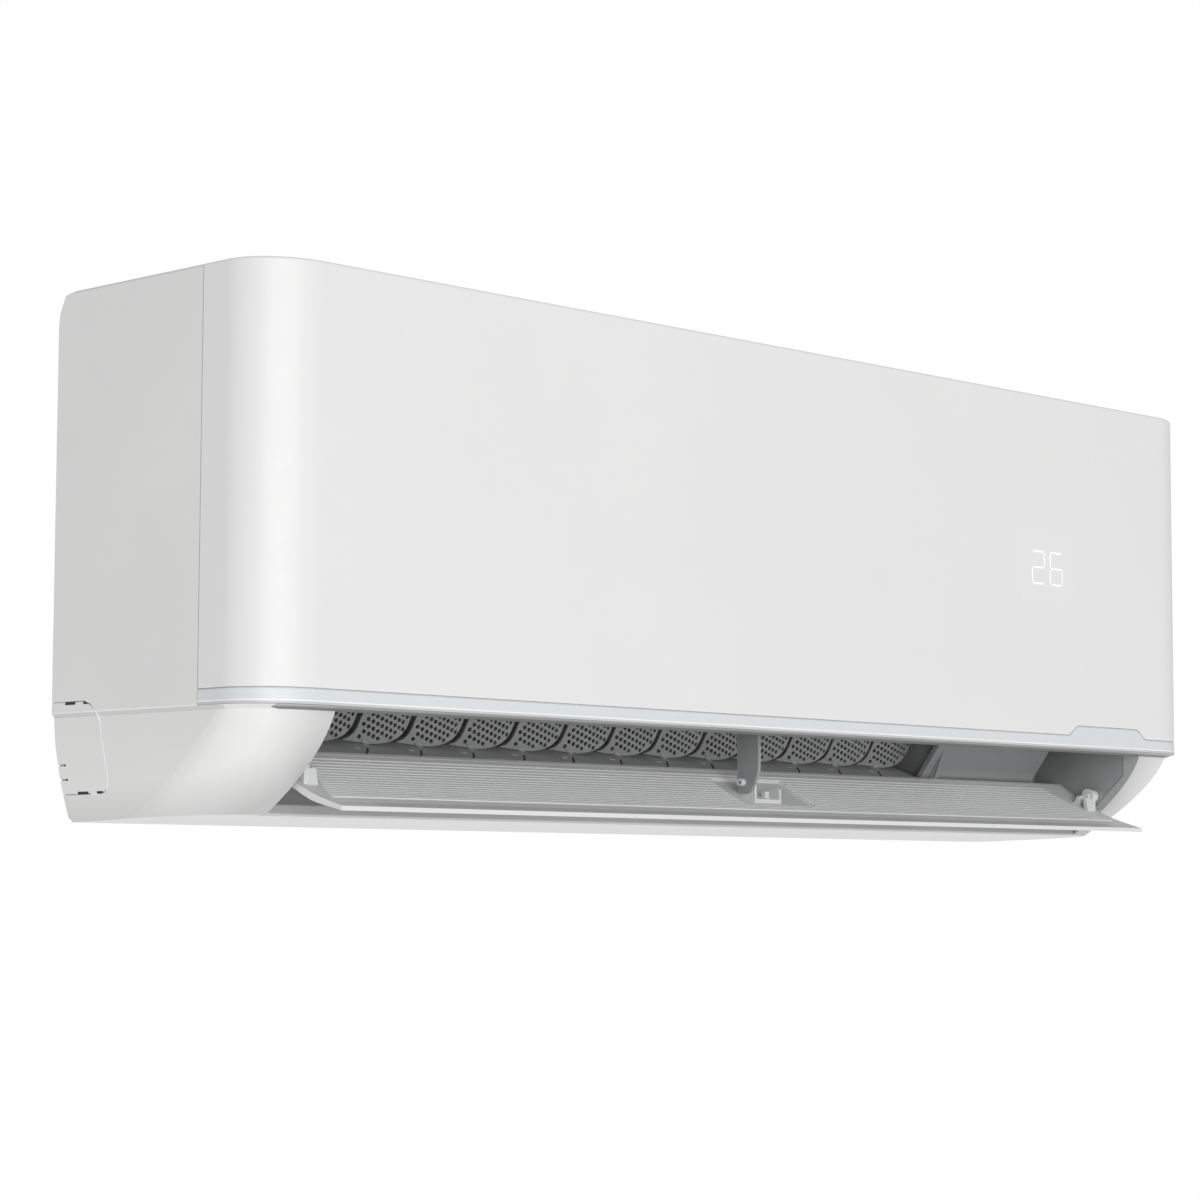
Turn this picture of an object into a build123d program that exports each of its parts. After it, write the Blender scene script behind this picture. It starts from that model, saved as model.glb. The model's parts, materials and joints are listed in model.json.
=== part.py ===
from build123d import *
import os
import math

# Wall-hung air conditioner indoor unit, millimetres, +Z up.
# Row frame: origin at the centre of the wall plate's back face, wall at y = 0,
# front towards -Y, and +X to the right hand of a person who faces the unit.
# The model is drawn with z = 0 at the underside of the trim strip and is
# lowered by PLATE_Z when it is written, so that the plate's centre is the origin.

# ------------------------------------------------------------------ driving sizes
W = 940.0                # overall width
HW = W / 2
D = 200.0                # overall depth
Z_TOP = 261.2            # top of the casing above the trim strip's underside
Z_BOT = -66.0            # lowest edge of the casing, at the wall
PLATE_Z = 100.0          # centre of the wall plate above the trim strip's underside
T = 2.5                  # general moulded wall thickness
SEAM_Y = -141.6          # front edge of the casing's side walls
PANEL_Y = -142.5         # rear edge of the wrap-round front panel
RX, RY = 44.0, 35.0      # plan corner of the front, half axes
PANEL_Z0 = 10.3          # underside of the front panel
TRIM_H = 9.7             # height of the trim strip
HINGE = (-160.0, 256.0)  # front panel hinge axis, y and z
MOUTH = 407.0            # half width of the air outlet
FLAP_PIVOT = (-150.5, -32.5)
FLAP_HW = 404.0
FAN = (-84.0, 78.0)      # cross-flow wheel centre, y and z
FAN_R = 46.0
FAN_X0, FAN_X1 = -362.0, 247.0
VANES = 13
VANE_PITCH = 46.0
VANE_X0 = -336.7         # pivot of the first vane
VANE_TILT = 20.0         # the vane axes lean forward by this, square to the duct floor
VANE_BACK, VANE_FRONT, VANE_H = 17.0, 29.0, 40.0
VANE_ANGLE = 10.0        # vanes in the photographed pose, from the width direction
CRANK = 12.0             # link pin radius on each vane
FILTER_TILT = 13.343     # filters lean back by this
PLATE_HOLES = (400.0, 140.0)
PLATE_HOLE_R = 3.0

parts = {}


# ------------------------------------------------------------------ helpers
def box(x0, x1, y0, y1, z0, z1):
    x0, x1 = min(x0, x1), max(x0, x1)
    y0, y1 = min(y0, y1), max(y0, y1)
    z0, z1 = min(z0, z1), max(z0, z1)
    return Pos((x0 + x1) / 2, (y0 + y1) / 2, (z0 + z1) / 2) * Box(x1 - x0, y1 - y0, z1 - z0)


def prism_x(pts, x0, x1):
    # polygon in (y, z) drawn out along X
    f = make_face(Polyline(*[(x0, p[0], p[1]) for p in pts], close=True))
    return extrude(f, amount=x1 - x0, dir=(1, 0, 0))


def prism_z(pts, z0, z1):
    f = make_face(Polyline(*[(p[0], p[1], z0) for p in pts], close=True))
    return extrude(f, amount=z1 - z0, dir=(0, 0, 1))


def prism_y(pts, y0, y1):
    # polygon in (x, z) drawn out along Y
    f = make_face(Polyline(*[(p[0], y0, p[1]) for p in pts], close=True))
    return extrude(f, amount=y1 - y0, dir=(0, 1, 0))


def cyl_x(x0, x1, y, z, r):
    return Pos((x0 + x1) / 2, y, z) * Rot(0, 90, 0) * Cylinder(r, x1 - x0)


def cyl_y(y0, y1, x, z, r):
    return Pos(x, (y0 + y1) / 2, z) * Rot(90, 0, 0) * Cylinder(r, abs(y1 - y0))


def tube_x(x0, x1, y, z, r_in, r_out):
    return cyl_x(x0, x1, y, z, r_out) - cyl_x(x0 - 1, x1 + 1, y, z, r_in)


def mirror_x(s):
    return mirror(s, about=Plane.YZ)


def wire_plan(z, hw, yf, rx, ry, yb=0.0):
    # closed plan outline of the casing: straight sides, elliptical front corners
    k = 0.5523
    return Wire([
        Edge.make_line((-hw, yb, z), (-hw, yf + ry, z)),
        Edge.make_bezier((-hw, yf + ry, z), (-hw, yf + ry - k * ry, z), (-hw + rx - k * rx, yf, z), (-hw + rx, yf, z)),
        Edge.make_line((-hw + rx, yf, z), (hw - rx, yf, z)),
        Edge.make_bezier((hw - rx, yf, z), (hw - rx + k * rx, yf, z), (hw, yf + ry - k * ry, z), (hw, yf + ry, z)),
        Edge.make_line((hw, yf + ry, z), (hw, yb, z)),
        Edge.make_line((hw, yb, z), (-hw, yb, z)),
    ])


def plan_solid(off, z0, z1, yb=PANEL_Y):
    f = Face(wire_plan(z0, HW - off, -D + off, RX - off, RY - off, yb))
    return extrude(f, amount=z1 - z0, dir=(0, 0, 1))


def round_pts(pts, radii, n=5):
    # open polyline with some corners turned to short arcs of the given radii
    out = []
    for i, (p, r) in enumerate(zip(pts, radii)):
        if not r:
            out.append(p)
            continue
        a, b = pts[i - 1], pts[(i + 1) % len(pts)]
        ua = ((a[0] - p[0]), (a[1] - p[1]))
        ub = ((b[0] - p[0]), (b[1] - p[1]))
        la, lb = math.hypot(*ua), math.hypot(*ub)
        ua, ub = (ua[0] / la, ua[1] / la), (ub[0] / lb, ub[1] / lb)
        ang = math.acos(max(-1.0, min(1.0, ua[0] * ub[0] + ua[1] * ub[1])))
        d = r / math.tan(ang / 2)
        s = (p[0] + ua[0] * d, p[1] + ua[1] * d)
        e = (p[0] + ub[0] * d, p[1] + ub[1] * d)
        h = r / math.sin(ang / 2)
        m = (ua[0] + ub[0], ua[1] + ub[1])
        lm = math.hypot(*m)
        c = (p[0] + m[0] / lm * h, p[1] + m[1] / lm * h)
        t0 = math.atan2(s[1] - c[1], s[0] - c[0])
        t1 = math.atan2(e[1] - c[1], e[0] - c[0])
        dt = (t1 - t0 + math.pi) % (2 * math.pi) - math.pi
        for k in range(n + 1):
            q = t0 + dt * k / n
            out.append((c[0] + r * math.cos(q), c[1] + r * math.sin(q)))
    return out


def union(items):
    items = list(items)
    s = items[0]
    for i in items[1:]:
        s = s + i
    return s


def offset_pts(pts, d):
    # shift a polyline in its own plane by d to the left of its direction
    out = []
    n = len(pts)
    for i in range(n):
        a = pts[max(i - 1, 0)]
        b = pts[min(i + 1, n - 1)]
        ux, uy = b[0] - a[0], b[1] - a[1]
        m = math.hypot(ux, uy)
        out.append((pts[i][0] - uy / m * d, pts[i][1] + ux / m * d))
    return out


def spline_pts(pts, n):
    # smooth curve through points, resampled: Catmull-Rom
    out = []
    p = [(2 * pts[0][0] - pts[1][0], 2 * pts[0][1] - pts[1][1])] + list(pts) + \
        [(2 * pts[-1][0] - pts[-2][0], 2 * pts[-1][1] - pts[-2][1])]
    for i in range(1, len(p) - 2):
        for k in range(n):
            t = k / n
            q = []
            for c in (0, 1):
                p0, p1, p2, p3 = p[i - 1][c], p[i][c], p[i + 1][c], p[i + 2][c]
                q.append(0.5 * (2 * p1 + (p2 - p0) * t + (2 * p0 - 5 * p1 + 4 * p2 - p3) * t * t
                                + (3 * p1 - p0 - 3 * p2 + p3) * t ** 3))
            out.append(tuple(q))
    out.append(tuple(pts[-1]))
    return out


# lower casing: half width, front line and corner radii of the plan outline by height
LOW = [(-2.4, 468.0, -191.9, 43, 35), (-10, 467.6, -188.3, 44, 38), (-20, 466.6, -181.2, 44, 42),
       (-30, 464.8, -172.1, 45, 46), (-40, 462.7, -161.1, 45, 51), (-50, 460.1, -148.1, 46, 57),
       (-60, 457.0, -133.2, 46, 63), (-68, 453.4, -119.5, 46, 66)]


def low_solid(off):
    ws = [wire_plan(z, hw - off, yf + off, rx - off, ry - off, 0.0) for z, hw, yf, rx, ry in LOW]
    return Solid.make_loft(ws, False)


BOT = [(0.0, -66.0), (-130.0, -62.15)]     # plane of the underside in (y, z)
low_outer = low_solid(0)
low_inner = low_solid(T)
low_fit = low_solid(T + 0.3)
below = prism_x([(2, -66.05), (-210, -59.8), (-210, -90), (2, -90)], -480, 480)

# pipe knock-out in the lower rear of each side wall
KNOCK = [(2, 7), (-33, 7), (-39.6, 4.6), (-44.6, 0), (-46.2, -6.5), (-47.4, -20), (-48.3, -32), (-48.2, -38.5),
         (-46.6, -44.5), (-42.6, -48.4), (-38, -49.4), (2, -49.6)]
KNOCK_IN = [(2.0, 6.5), (-32.9, 6.5), (-39.3, 4.1), (-44.1, -0.3), (-45.7, -6.6), (-46.9, -20.1), (-47.8, -32.0),
            (-47.7, -38.4), (-46.2, -44.2), (-42.4, -47.9), (-37.9, -48.9), (2.0, -49.1)]
knock_cut = prism_x(KNOCK, 436, 480)
knock_in = prism_x(KNOCK_IN, 436, 480)

# ------------------------------------------------------------------ front frame (casing)
side = box(HW - T, HW, SEAM_Y, 0, 0, Z_TOP) + \
    box(433, HW - T, SEAM_Y, SEAM_Y + T, 0, Z_TOP - T)
side = side + box(440, HW, SEAM_Y, 0, Z_TOP - T, Z_TOP)
# inner side wall behind the panel, follows the filter's lean
side = side + prism_x([(-190.5, 2), (-139.1, 2), (-139.1, 222), (-141, 222)], 433, 435.5)
# hinge ear with its bore
ear = box(446, 450, -160, SEAM_Y, 251.5, 258.0) + cyl_x(446, 450, HINGE[0], HINGE[1], 4.0)
ear = ear - cyl_x(440, 456, HINGE[0], HINGE[1], 2.05)
side = side + ear
frame = side + mirror_x(side)
frame = frame + box(-HW, HW, SEAM_Y, -132.0, Z_TOP - T, Z_TOP) + box(-HW, HW, -14, 0, Z_TOP - T, Z_TOP)
# band behind the trim strip and the lip under it
band = plan_solid(2.7, 0, TRIM_H, SEAM_Y) - plan_solid(8.5, -1, TRIM_H + 1, SEAM_Y + 5)
lip = Solid.make_loft([wire_plan(-2.4, 468.0, -191.9, 43, 35, 0), wire_plan(0, HW, -D, RX, RY, 0)], True)
lip = lip - (extrude(Face(wire_plan(-4, HW - 11, -D + 11.5, RX - 8, RY - 8, 5)), amount=6, dir=(0, 0, 1)))
frame = frame + band + lip
# shelf between the band and the drip tray, filter rails and bottom stop
frame = frame + box(-433, 433, -192.5, -183.2, 3, 6)
FP = Plane(origin=(0, -184, 28), x_dir=(1, 0, 0),
           z_dir=(0, -math.cos(math.radians(FILTER_TILT)), math.sin(math.radians(FILTER_TILT))))


def fbox(x0, x1, s0, s1, t0, t1):
    return FP * (Pos((x0 + x1) / 2, (s0 + s1) / 2, (t0 + t1) / 2) * Box(x1 - x0, s1 - s0, t1 - t0))


rail = fbox(430, 433.5, -24, 233, -4, 4) + fbox(424, 431, -24, 233, 2.2, 4) + fbox(424, 431, -24, 233, -4, -2.2)
mull = fbox(-1.5, 1.5, -24, 233, -4, 4) + fbox(-8, 8, -24, 233, 2.2, 4) + fbox(-8, 8, -24, 233, -4, -2.2)
frame = frame + rail + mirror_x(rail) + mull + fbox(-433.5, 433.5, -6, -1, -4, 4)
# lower casing with the cheeks either side of the outlet
low = (low_outer - low_inner) - below
low = low - box(-MOUTH, MOUTH, -220, 1, -80, -2.4) - box(-480, 480, -2.0, 5, -80, -64)
wall = (low_outer & box(MOUTH, MOUTH + T, -200, -52, -59.4, -2.4)) + box(MOUTH, MOUTH + T, -187, -52, -2.5, 6.5)
low = low + wall + mirror_x(wall)
frame = frame + low
# bores for the flap pins, raised rims on the mouth side
frame = frame + cyl_x(MOUTH - 1.6, MOUTH + 0.5, FLAP_PIVOT[0], FLAP_PIVOT[1], 6.2) \
    + cyl_x(-MOUTH - 0.5, -MOUTH + 1.6, FLAP_PIVOT[0], FLAP_PIVOT[1], 6.2)
frame = frame - cyl_x(-415, 415, FLAP_PIVOT[0], FLAP_PIVOT[1], 3.05)
# rounded top rear corner, small bevel along the top side edges
frame = frame - prism_x([(0.5, 238), (0, 240), (-1.2, 249), (-6.6, 259), (-15.8, Z_TOP), (-15.8, Z_TOP + 3),
                         (0.5, Z_TOP + 3)], -480, 480)
bev = prism_y([(HW - 1.6, Z_TOP), (HW + 1, Z_TOP - 2.6), (HW + 1, Z_TOP + 1), (HW - 1.6, Z_TOP + 1)], SEAM_Y - 1, 1)
frame = frame - bev - mirror_x(bev)
# knock-outs, service button hole
cover_r = frame & knock_in
frame_k = frame - knock_cut - mirror_x(knock_cut)
frame_k = frame_k - cyl_y(-150, -130, 450, 60, 2.06)
parts["front_frame"] = frame_k

# knock-out covers: the removed piece of wall, four thin break-off slots and a finger clip
slots = box(440, 480, -24.1, -13.5, 4.9, 8) + box(440, 480, -38.7, -31.7, 4.9, 8) + \
    box(440, 480, -26.3, -15.1, -50, -47.6) + box(440, 480, -41.0, -34.3, -50, -47.6)
cover_r = cover_r - slots - box(440, 480, -8, 3, -32.0, -30.8) - box(440, 480, -8, 3, -40.8, -39.6)
cov = max(cover_r.solids(), key=lambda s: s.volume)
parts["pipe_cover_right"] = cov
parts["pipe_cover_left"] = mirror_x(cov)

# ------------------------------------------------------------------ top inlet grille
grille = box(-439.6, 439.6, -125.5, -14.3, Z_TOP - 4.5, Z_TOP - 0.2) - \
    box(-433, 433, -120.5, -19.3, Z_TOP - 6, Z_TOP + 1)
bars = [box(-434, 434, y, y + 2.0, Z_TOP - 4.5, Z_TOP - 0.6) for y in [-112.0 + i * 8.1 for i in range(12)]]
ribs = [box(x - 1.0, x + 1.0, -121, -19, Z_TOP - 4.5, Z_TOP - 1.2) for x in range(-390, 391, 65)]
parts["top_grille"] = union([grille] + bars + ribs)

# ------------------------------------------------------------------ underside cover
plate = prism_x([(-0.5, BOT[0][1]), (-128.0, -62.2), (-128.0, -59.7), (-0.5, -63.5)], -470, 470)
plate = plate & low_fit
bottom_lip = prism_x([(-130.0, -62.15), (-126.0, -62.25), (-126.0, -59.6), (-127.2, -55.4), (-128.6, -55.2),
                      (-129.8, -56.2)], -MOUTH + 0.5, MOUTH - 0.5)
parts["bottom_cover"] = plate + bottom_lip

# ------------------------------------------------------------------ trim strip with its raised tab
trim = plan_solid(0, 0.15, TRIM_H, SEAM_Y - 0.5) - plan_solid(2.6, -1, TRIM_H + 1, SEAM_Y + 2)
TAB = [(298, 5), (298, 9.7), (304.6, 9.7), (317.4, 16.7), (389.6, 16.7), (402.4, 9.7), (409, 9.7), (409, 5)]
tab = prism_y(round_pts(TAB, [0, 0, 3.0, 3.4, 3.4, 3.0, 0, 0]), -D, -D + 2.6)
parts["trim_strip"] = trim + tab

# ------------------------------------------------------------------ front panel
panel = plan_solid(0, PANEL_Z0, Z_TOP) - plan_solid(3.0, PANEL_Z0 - 5, Z_TOP - T, PANEL_Y + 5)
top_edges = [e for e in panel.edges() if abs(e.bounding_box().min.Z - Z_TOP) < 1e-3
             and e.bounding_box().max.Y < PANEL_Y + 0.01 and abs(e.center().Y - PANEL_Y) > 1]
panel = chamfer(top_edges, 1.6)
NOTCH = [(298, 5), (298, 10.3), (304.5, 10.3), (317.2, 17.3), (389.8, 17.3), (402.5, 10.3), (409, 10.3), (409, 5)]
panel = panel - prism_y(round_pts(NOTCH, [0, 0, 3.6, 2.8, 2.8, 3.6, 0, 0]), -215, -190)
prib = box(438, 444, -170, -152, 247, Z_TOP - T + 0.2)
prib = prib + cyl_x(443.5, 450.6, HINGE[0], HINGE[1], 2.0)
notch = box(444.6, 451.6, -166.5, PANEL_Y + 1, Z_TOP - T - 1, Z_TOP + 1)
panel = panel - notch - mirror_x(notch)
panel = panel + prib + mirror_x(prib)
# latch hooks low on the inside
latch = box(-6, 6, -197.2, -193.6, 22, 30)
panel = panel + Pos(-300, 0, 0) * latch + Pos(220, 0, 0) * latch
parts["front_panel"] = panel

# display behind the translucent panel: board, and the two-figure read-out flush in the skin
parts["display_board"] = box(246, 319, -195.3, -193.7, 105, 163) + box(257, 304, -196.9, -195.3, 115, 149)
SEG = {"2": "abged", "6": "acdefg"}


def digit(ch, x0, z0, w, h, t):
    m = z0 + h / 2
    rect = {"a": (x0 + t, x0 + w - t, z0 + h - t, z0 + h), "g": (x0 + t, x0 + w - t, m - t / 2, m + t / 2),
            "d": (x0 + t, x0 + w - t, z0, z0 + t),
            "f": (x0, x0 + t, m + t * 0.7, z0 + h - t * 0.6), "b": (x0 + w - t, x0 + w, m + t * 0.7, z0 + h - t * 0.6),
            "e": (x0, x0 + t, z0 + t * 0.6, m - t * 0.7), "c": (x0 + w - t, x0 + w, z0 + t * 0.6, m - t * 0.7)}
    return [box(rect[s][0], rect[s][1], -200.0, -199.4, rect[s][2], rect[s][3]) for s in SEG[ch]]


digs = digit("2", 261.5, 119.8, 16.0, 25.0, 1.5) + digit("6", 283.5, 119.8, 16.0, 25.0, 1.5)
digs = [d for d in digs]
parts["display_digits"] = Compound(children=digs)
for d in digs:
    panel = panel - d
parts["front_panel"] = panel

# ------------------------------------------------------------------ outlet duct
SCROLL = [(-32.5, 104), (-31, 78), (-31.8, 55), (-35.5, 34), (-43.5, 14.5), (-56, -0.5), (-70, -8.26)]
sc = spline_pts(SCROLL, 4)
inner = sc + [(-116, -25.0)]
outer = offset_pts(sc, T) + [(-115.0, -27.4)]
outer[-2] = (-70.9, -10.7)
duct = prism_x(inner + outer[::-1], -372, 252.5)
# front lip of the floor, a wall that hugs the flap's rear edge, and the floor beyond the vanes
lipw = [(-116.0, -25.0), (-115.6, -34), (-118.6, -46.5), (-125.4, -56.6)]
lipo = [(-123.0, -58.0), (-116.0, -48.2), (-113.0, -35), (-113.2, -27.4), (-112, -25.6), (-112, -23.55)]
lip_s = prism_x(lipw + lipo, -404.5, 404.5)
duct = duct + lip_s


def slant(x0, x1):
    # plain closing wall that leans forward from the floor to the ceiling
    return prism_x([(-109.0, -23.5), (-148.2, 28.5), (-145.4, 30.6), (-106.0, -21.5), (-106.0, -26.4), (-113.5, -26.4),
                    (-113.5, -23.9)], x0, x1)


duct = duct + slant(252.4, 378) + slant(-404.5, -369.6)
duct = duct + box(375.5, 378, -112, -92, -24, 30) + box(377.9, 404.5, -94.5, -92, -24, 30) + \
    box(377.9, 404.5, -113.5, -92, -26.4, -24)
endw = [(-32.5, 104)] + sc[1:] + [(-116, -25.0), (-128, 4), (-146, 28), (-136.3, 44), (-132.6, 48.4), (-131.6, 52), (-131.2, 60), (-131.5, 100), (-118, 122),
                                  (-96, 134), (-60, 132)]
ew_l = prism_x(endw, -372, -369.5) - cyl_x(-380, -360, FAN[0], FAN[1], 14)
ew_r = prism_x(endw, 250, 252.5) - cyl_x(240, 260, FAN[0], FAN[1], 20)
duct = duct + ew_l + ew_r
# leaning strip that closes the outlet beside the last vane
duct = duct + slant(241.5, 252.45)
duct = duct + tube_x(-389, -371.9, FAN[0], FAN[1], 14, 17)
# lower half of the motor cradle on a foot
cradle = tube_x(272, 308, FAN[0], FAN[1], 36.2, 39) - box(260, 320, -140, 0, FAN[1], 140)
cradle = cradle + box(252.4, 308, -90, -78, 34, 40.5) - cyl_x(252.4, 320, FAN[0], FAN[1], 36.2)
duct = duct + cradle

VP0 = Plane(origin=(0, -87.0, -14.445), x_dir=(1, 0, 0),
            z_dir=(0, -math.sin(math.radians(VANE_TILT)), math.cos(math.radians(VANE_TILT))))
pivots = [VANE_X0 + VANE_PITCH * i for i in range(VANES)]
for px in pivots:
    duct = duct + VP0 * (Pos(px, 0, -2.8) * Cylinder(4.6, 4.2))
for px in pivots:
    duct = duct - VP0 * (Pos(px, 0, -3) * Cylinder(2.55, 8))
duct = duct & box(-404.5, 404.5, -220, 0, -60, 200)
parts["outlet_duct"] = duct

# ------------------------------------------------------------------ drip tray and air tongue
TRAY = [(-132.3, 57), (-132.5, 52), (-134, 48.4), (-150, 29.6), (-160, 21), (-172, 14), (-182, 10.4), (-182, 12.9),
        (-177, 17.5), (-173.6, 46), (-171.4, 46), (-172.6, 24.5), (-151, 37.6), (-138.5, 50.4), (-135.2, 57)]
tray = prism_x(TRAY, -403.8, 403.8)
cap = [(-173.6, 46), (-171.4, 46), (-137.6, 51.5), (-150, 30), (-172, 20), (-176.8, 18)]
tray = tray + prism_x(cap, -403.8, -401.8) + prism_x(cap, 401.8, 403.8)
for sx in (-1, 1):
    sp = cyl_x(402.5, 421, -158, 40, 7.0)
    hole = cyl_x(400, 424, -158, 40, 5.0)
    if sx < 0:
        sp, hole = mirror_x(sp), mirror_x(hole)
    tray = tray + sp - hole
parts["drain_pan"] = tray
parts["drain_plug"] = cyl_x(-426, -406, -158, 40, 4.95) + cyl_x(-429, -421.2, -158, 40, 8.0)

# ------------------------------------------------------------------ centre stay of the flap
STAY = [(-143.0, 34), (-160, 21), (-162.4, 8), (-163.4, -0.6), (-164.2, -10.8), (-164.3, -18), (-163.5, -26.3),
        (-160.7, -33.1), (-157.6, -37.3), (-155.1, -39.6), (-152.0, -40.3), (-148.4, -39.4), (-145.4, -36.6), (-144.4, -32.5),
        (-145.3, -27.4), (-144.8, -17.1), (-144.2, 0), (-143.4, 10)]
stay = prism_x(STAY, -2.0, 0.6) - cyl_x(-8, 2, FLAP_PIVOT[0], FLAP_PIVOT[1], 2.05)
stay = stay + box(-9, 3, -160.5, -149, 20, 40)
stay = stay - tray
stay = max(stay.solids(), key=lambda s: s.bounding_box().max.Z - s.bounding_box().min.Z)
parts["center_stay"] = stay

# ------------------------------------------------------------------ flap (air guide) as photographed
FIN = spline_pts([(-119.5, -22.5), (-135, -32.8), (-152, -42.3), (-170, -50.2), (-195.2, -57.7)], 6)
FOUT = spline_pts([(-121.3, -26.4), (-136, -37.4), (-152.5, -47.0), (-170.5, -54.8), (-195.7, -60.5)], 6)


def on_flap(pts, y):
    for a, b in zip(pts, pts[1:]):
        if b[0] <= y <= a[0]:
            t = (y - a[0]) / (b[0] - a[0])
            return (y, a[1] + t * (b[1] - a[1]))
    return pts[-1]


def between(pts, y0, y1):
    return [on_flap(pts, y0)] + [p for p in pts if y1 < p[0] < y0] + [on_flap(pts, y1)]


mid = [((a[0] + b[0]) / 2, (a[1] + b[1]) / 2) for a, b in zip(FIN, FOUT)]
# outer skin: full section at the front edge and at the ends, thin under the lining
fl = prism_x(FOUT + FIN[::-1], -FLAP_HW, FLAP_HW)
lin_cut = prism_x(between(mid, -122.5, -185.6) + [(-185.6, -48), (-150, -30), (-118, -14)], -400, 400)
# bright nose along the front edge
NOSE_Y = -194.1
strip_solid = prism_x([on_flap(FIN, NOSE_Y), FIN[-1], FOUT[-1], on_flap(FOUT, NOSE_Y)], -FLAP_HW, FLAP_HW)
fl = fl - lin_cut
fl = fl - box(-FLAP_HW - 1, FLAP_HW + 1, -200, NOSE_Y, -70, -40)
parts["flap"] = fl
parts["flap_strip"] = strip_solid
# ribbed lining: fine ribs along the width over the rear part, smooth towards the front
top = between(FIN, -122.7, -185.4)
base = between(mid, -122.7, -185.4)
lining = prism_x(base + top[::-1], -399.8, 399.8)
n_rib = 17
for i in range(n_rib):
    y = -125.5 - i * 3.05
    a = on_flap(FIN, y)
    b = on_flap(FIN, y - 1.5)
    ux, uz = b[0] - a[0], b[1] - a[1]
    m = math.hypot(ux, uz)
    nx, nz = (-uz / m, ux / m)
    if nz < 0:
        nx, nz = -nx, -nz
    xr = 373 + 21 * i / (n_rib - 1)
    h = 0.75
    lining = lining + prism_x([(a[0] - nx * 0.4, a[1] - nz * 0.4), (a[0] + nx * h, a[1] + nz * h),
                               (b[0] + nx * h, b[1] + nz * h), (b[0] - nx * 0.4, b[1] - nz * 0.4)], -xr, xr)
pk = prism_x(offset_pts(between(FIN, -131.5, -166.5), 1.1) + [(-170, -30), (-128, -20)], -15, 58)
lining = lining - pk
parts["flap_lining"] = lining
# ears, eyes, pins and the centre clip box
py, pz = FLAP_PIVOT


def ear_at(x0, x1):
    e = prism_x([(py - 5.4, pz), (py - 5.4, -45.6), (py + 7.0, -40.0), (py + 5.4, pz)], x0, x1)
    return e + cyl_x(x0, x1, py, pz, 5.4)


h = ear_at(396.2, 399.6) + cyl_x(399.5, 412, py, pz, 3.0) + cyl_x(394.2, 396.4, py, pz, 2.6) + cyl_x(399.5, 404.8, py, pz, 4.6)
h = h + prism_x([(py + 8, -39.0), (py + 4, pz), (py + 1.6, pz), (py + 3.8, -41)], 389, 396.4)
h = h + prism_x([(py - 2.6, -44.3), (py - 1.4, pz - 2), (py - 4, pz - 2), (py - 6.4, -46)], 389, 396.4)
h = h + mirror_x(h)
clip = prism_x([(-143, -40.2), (-158.5, -48.2), (-158.5, -43.9), (-157.0, -43.6), (-157.0, -45.7), (-143, -38.2)], 0.8, 28)
clip = clip + prism_x([(-143, -40), (-158.5, -48), (-158.5, -29.6), (-155.6, -27.4), (-147.0, -27.4), (-143.6, -32)], 0.8, 2.6)
clip = clip + prism_x([(-143, -40), (-158.5, -48), (-158.5, -37.4), (-156.8, -35.8), (-154, -36.6), (-143, -38.4)], 26.2, 28)
clip = clip + box(16, 20, -154.5, -151, -45, -38.6)
clip = clip + cyl_x(-5.0, 1.5, py, pz, 2.0) + (cyl_x(-6.0, -2.2, py, pz, 2.6) - cyl_x(-7, -4.9, py, pz, 1.1))
clip = clip + cyl_x(2.5, 6.5, py, pz, 2.6)
h = h + clip
h = h - lining - fl
parts["flap_hinges"] = h

# ------------------------------------------------------------------ vertical vanes (perforated leaves)
R = ((VANE_BACK + VANE_FRONT) / 2) ** 2 / (2 * 3.0) + 1.5
half = (VANE_BACK + VANE_FRONT) / 2
mx = (VANE_FRONT - VANE_BACK) / 2          # chord middle ahead of the pivot
SAG = R - math.sqrt(R * R - half * half)
arc_o = Pos(mx, R - SAG * 0.5, VANE_H / 2) * Cylinder(R + 0.8, VANE_H * 2) - \
    Pos(mx, R - SAG * 0.5, VANE_H / 2) * Cylinder(R - 0.8, VANE_H * 3)
# outline of a leaf, along it and up its own axis
LEAF = [(-VANE_BACK, 1.0), (-16.6, 1.6), (-14.6, 2.4), (-12.5, 4.0), (-10.4, 7.0), (-9.2, 10.7), (-8.6, 14.4), (-8.0, 18.0),
        (-7.3, 21.0), (-6.6, 24.0), (-5.8, 28.0), (-5.0, 32.0), (-4.2, 36.0), (-3.4, VANE_H), (VANE_FRONT - 2.4, VANE_H),
        (VANE_FRONT + 0.6, VANE_H - 3), (29.6, 30.0), (29.6, 24.0), (29.4, 20.2), (28.8, 16.6), (27.6, 12.8), (25.4, 9.2),
        (22.4, 6.4), (18.6, 4.4), (14.0, 2.8), (9.0, 1.6), (3.0, 1.0)]
leaf_face = make_face(Polyline(*LEAF, close=True))
leaf_blk = extrude(Rot(90, 0, 0) * leaf_face, amount=20, both=True)
leaf = arc_o & leaf_blk
leaf = leaf & box(-40, 40, -15, 15, 0, 60)
leaf = max(leaf.solids(), key=lambda s: s.volume)
leaf = leaf + Pos(0, 0, 2.1) * Cylinder(4.0, 3.0) + Pos(0, 0, -1.6) * Cylinder(2.5, 5.4) + \
    Pos(0, -0.3, 6.5) * Cylinder(2.0, 9.0)
leaf = leaf + Pos(CRANK, -0.5, VANE_H - 2.5) * Cylinder(2.2, 5.0) + Pos(CRANK, 0, VANE_H + 1.8) * Cylinder(1.4, 4.4)
vane0 = Rot(0, 0, -VANE_ANGLE) * leaf
for i, px in enumerate(pivots):
    parts["vane_%02d" % (i + 1)] = VP0 * (Pos(px, 0, 0) * vane0)
ca, sa = math.cos(math.radians(VANE_ANGLE)), math.sin(math.radians(VANE_ANGLE))
lx, ly = CRANK * ca, -CRANK * sa
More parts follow.
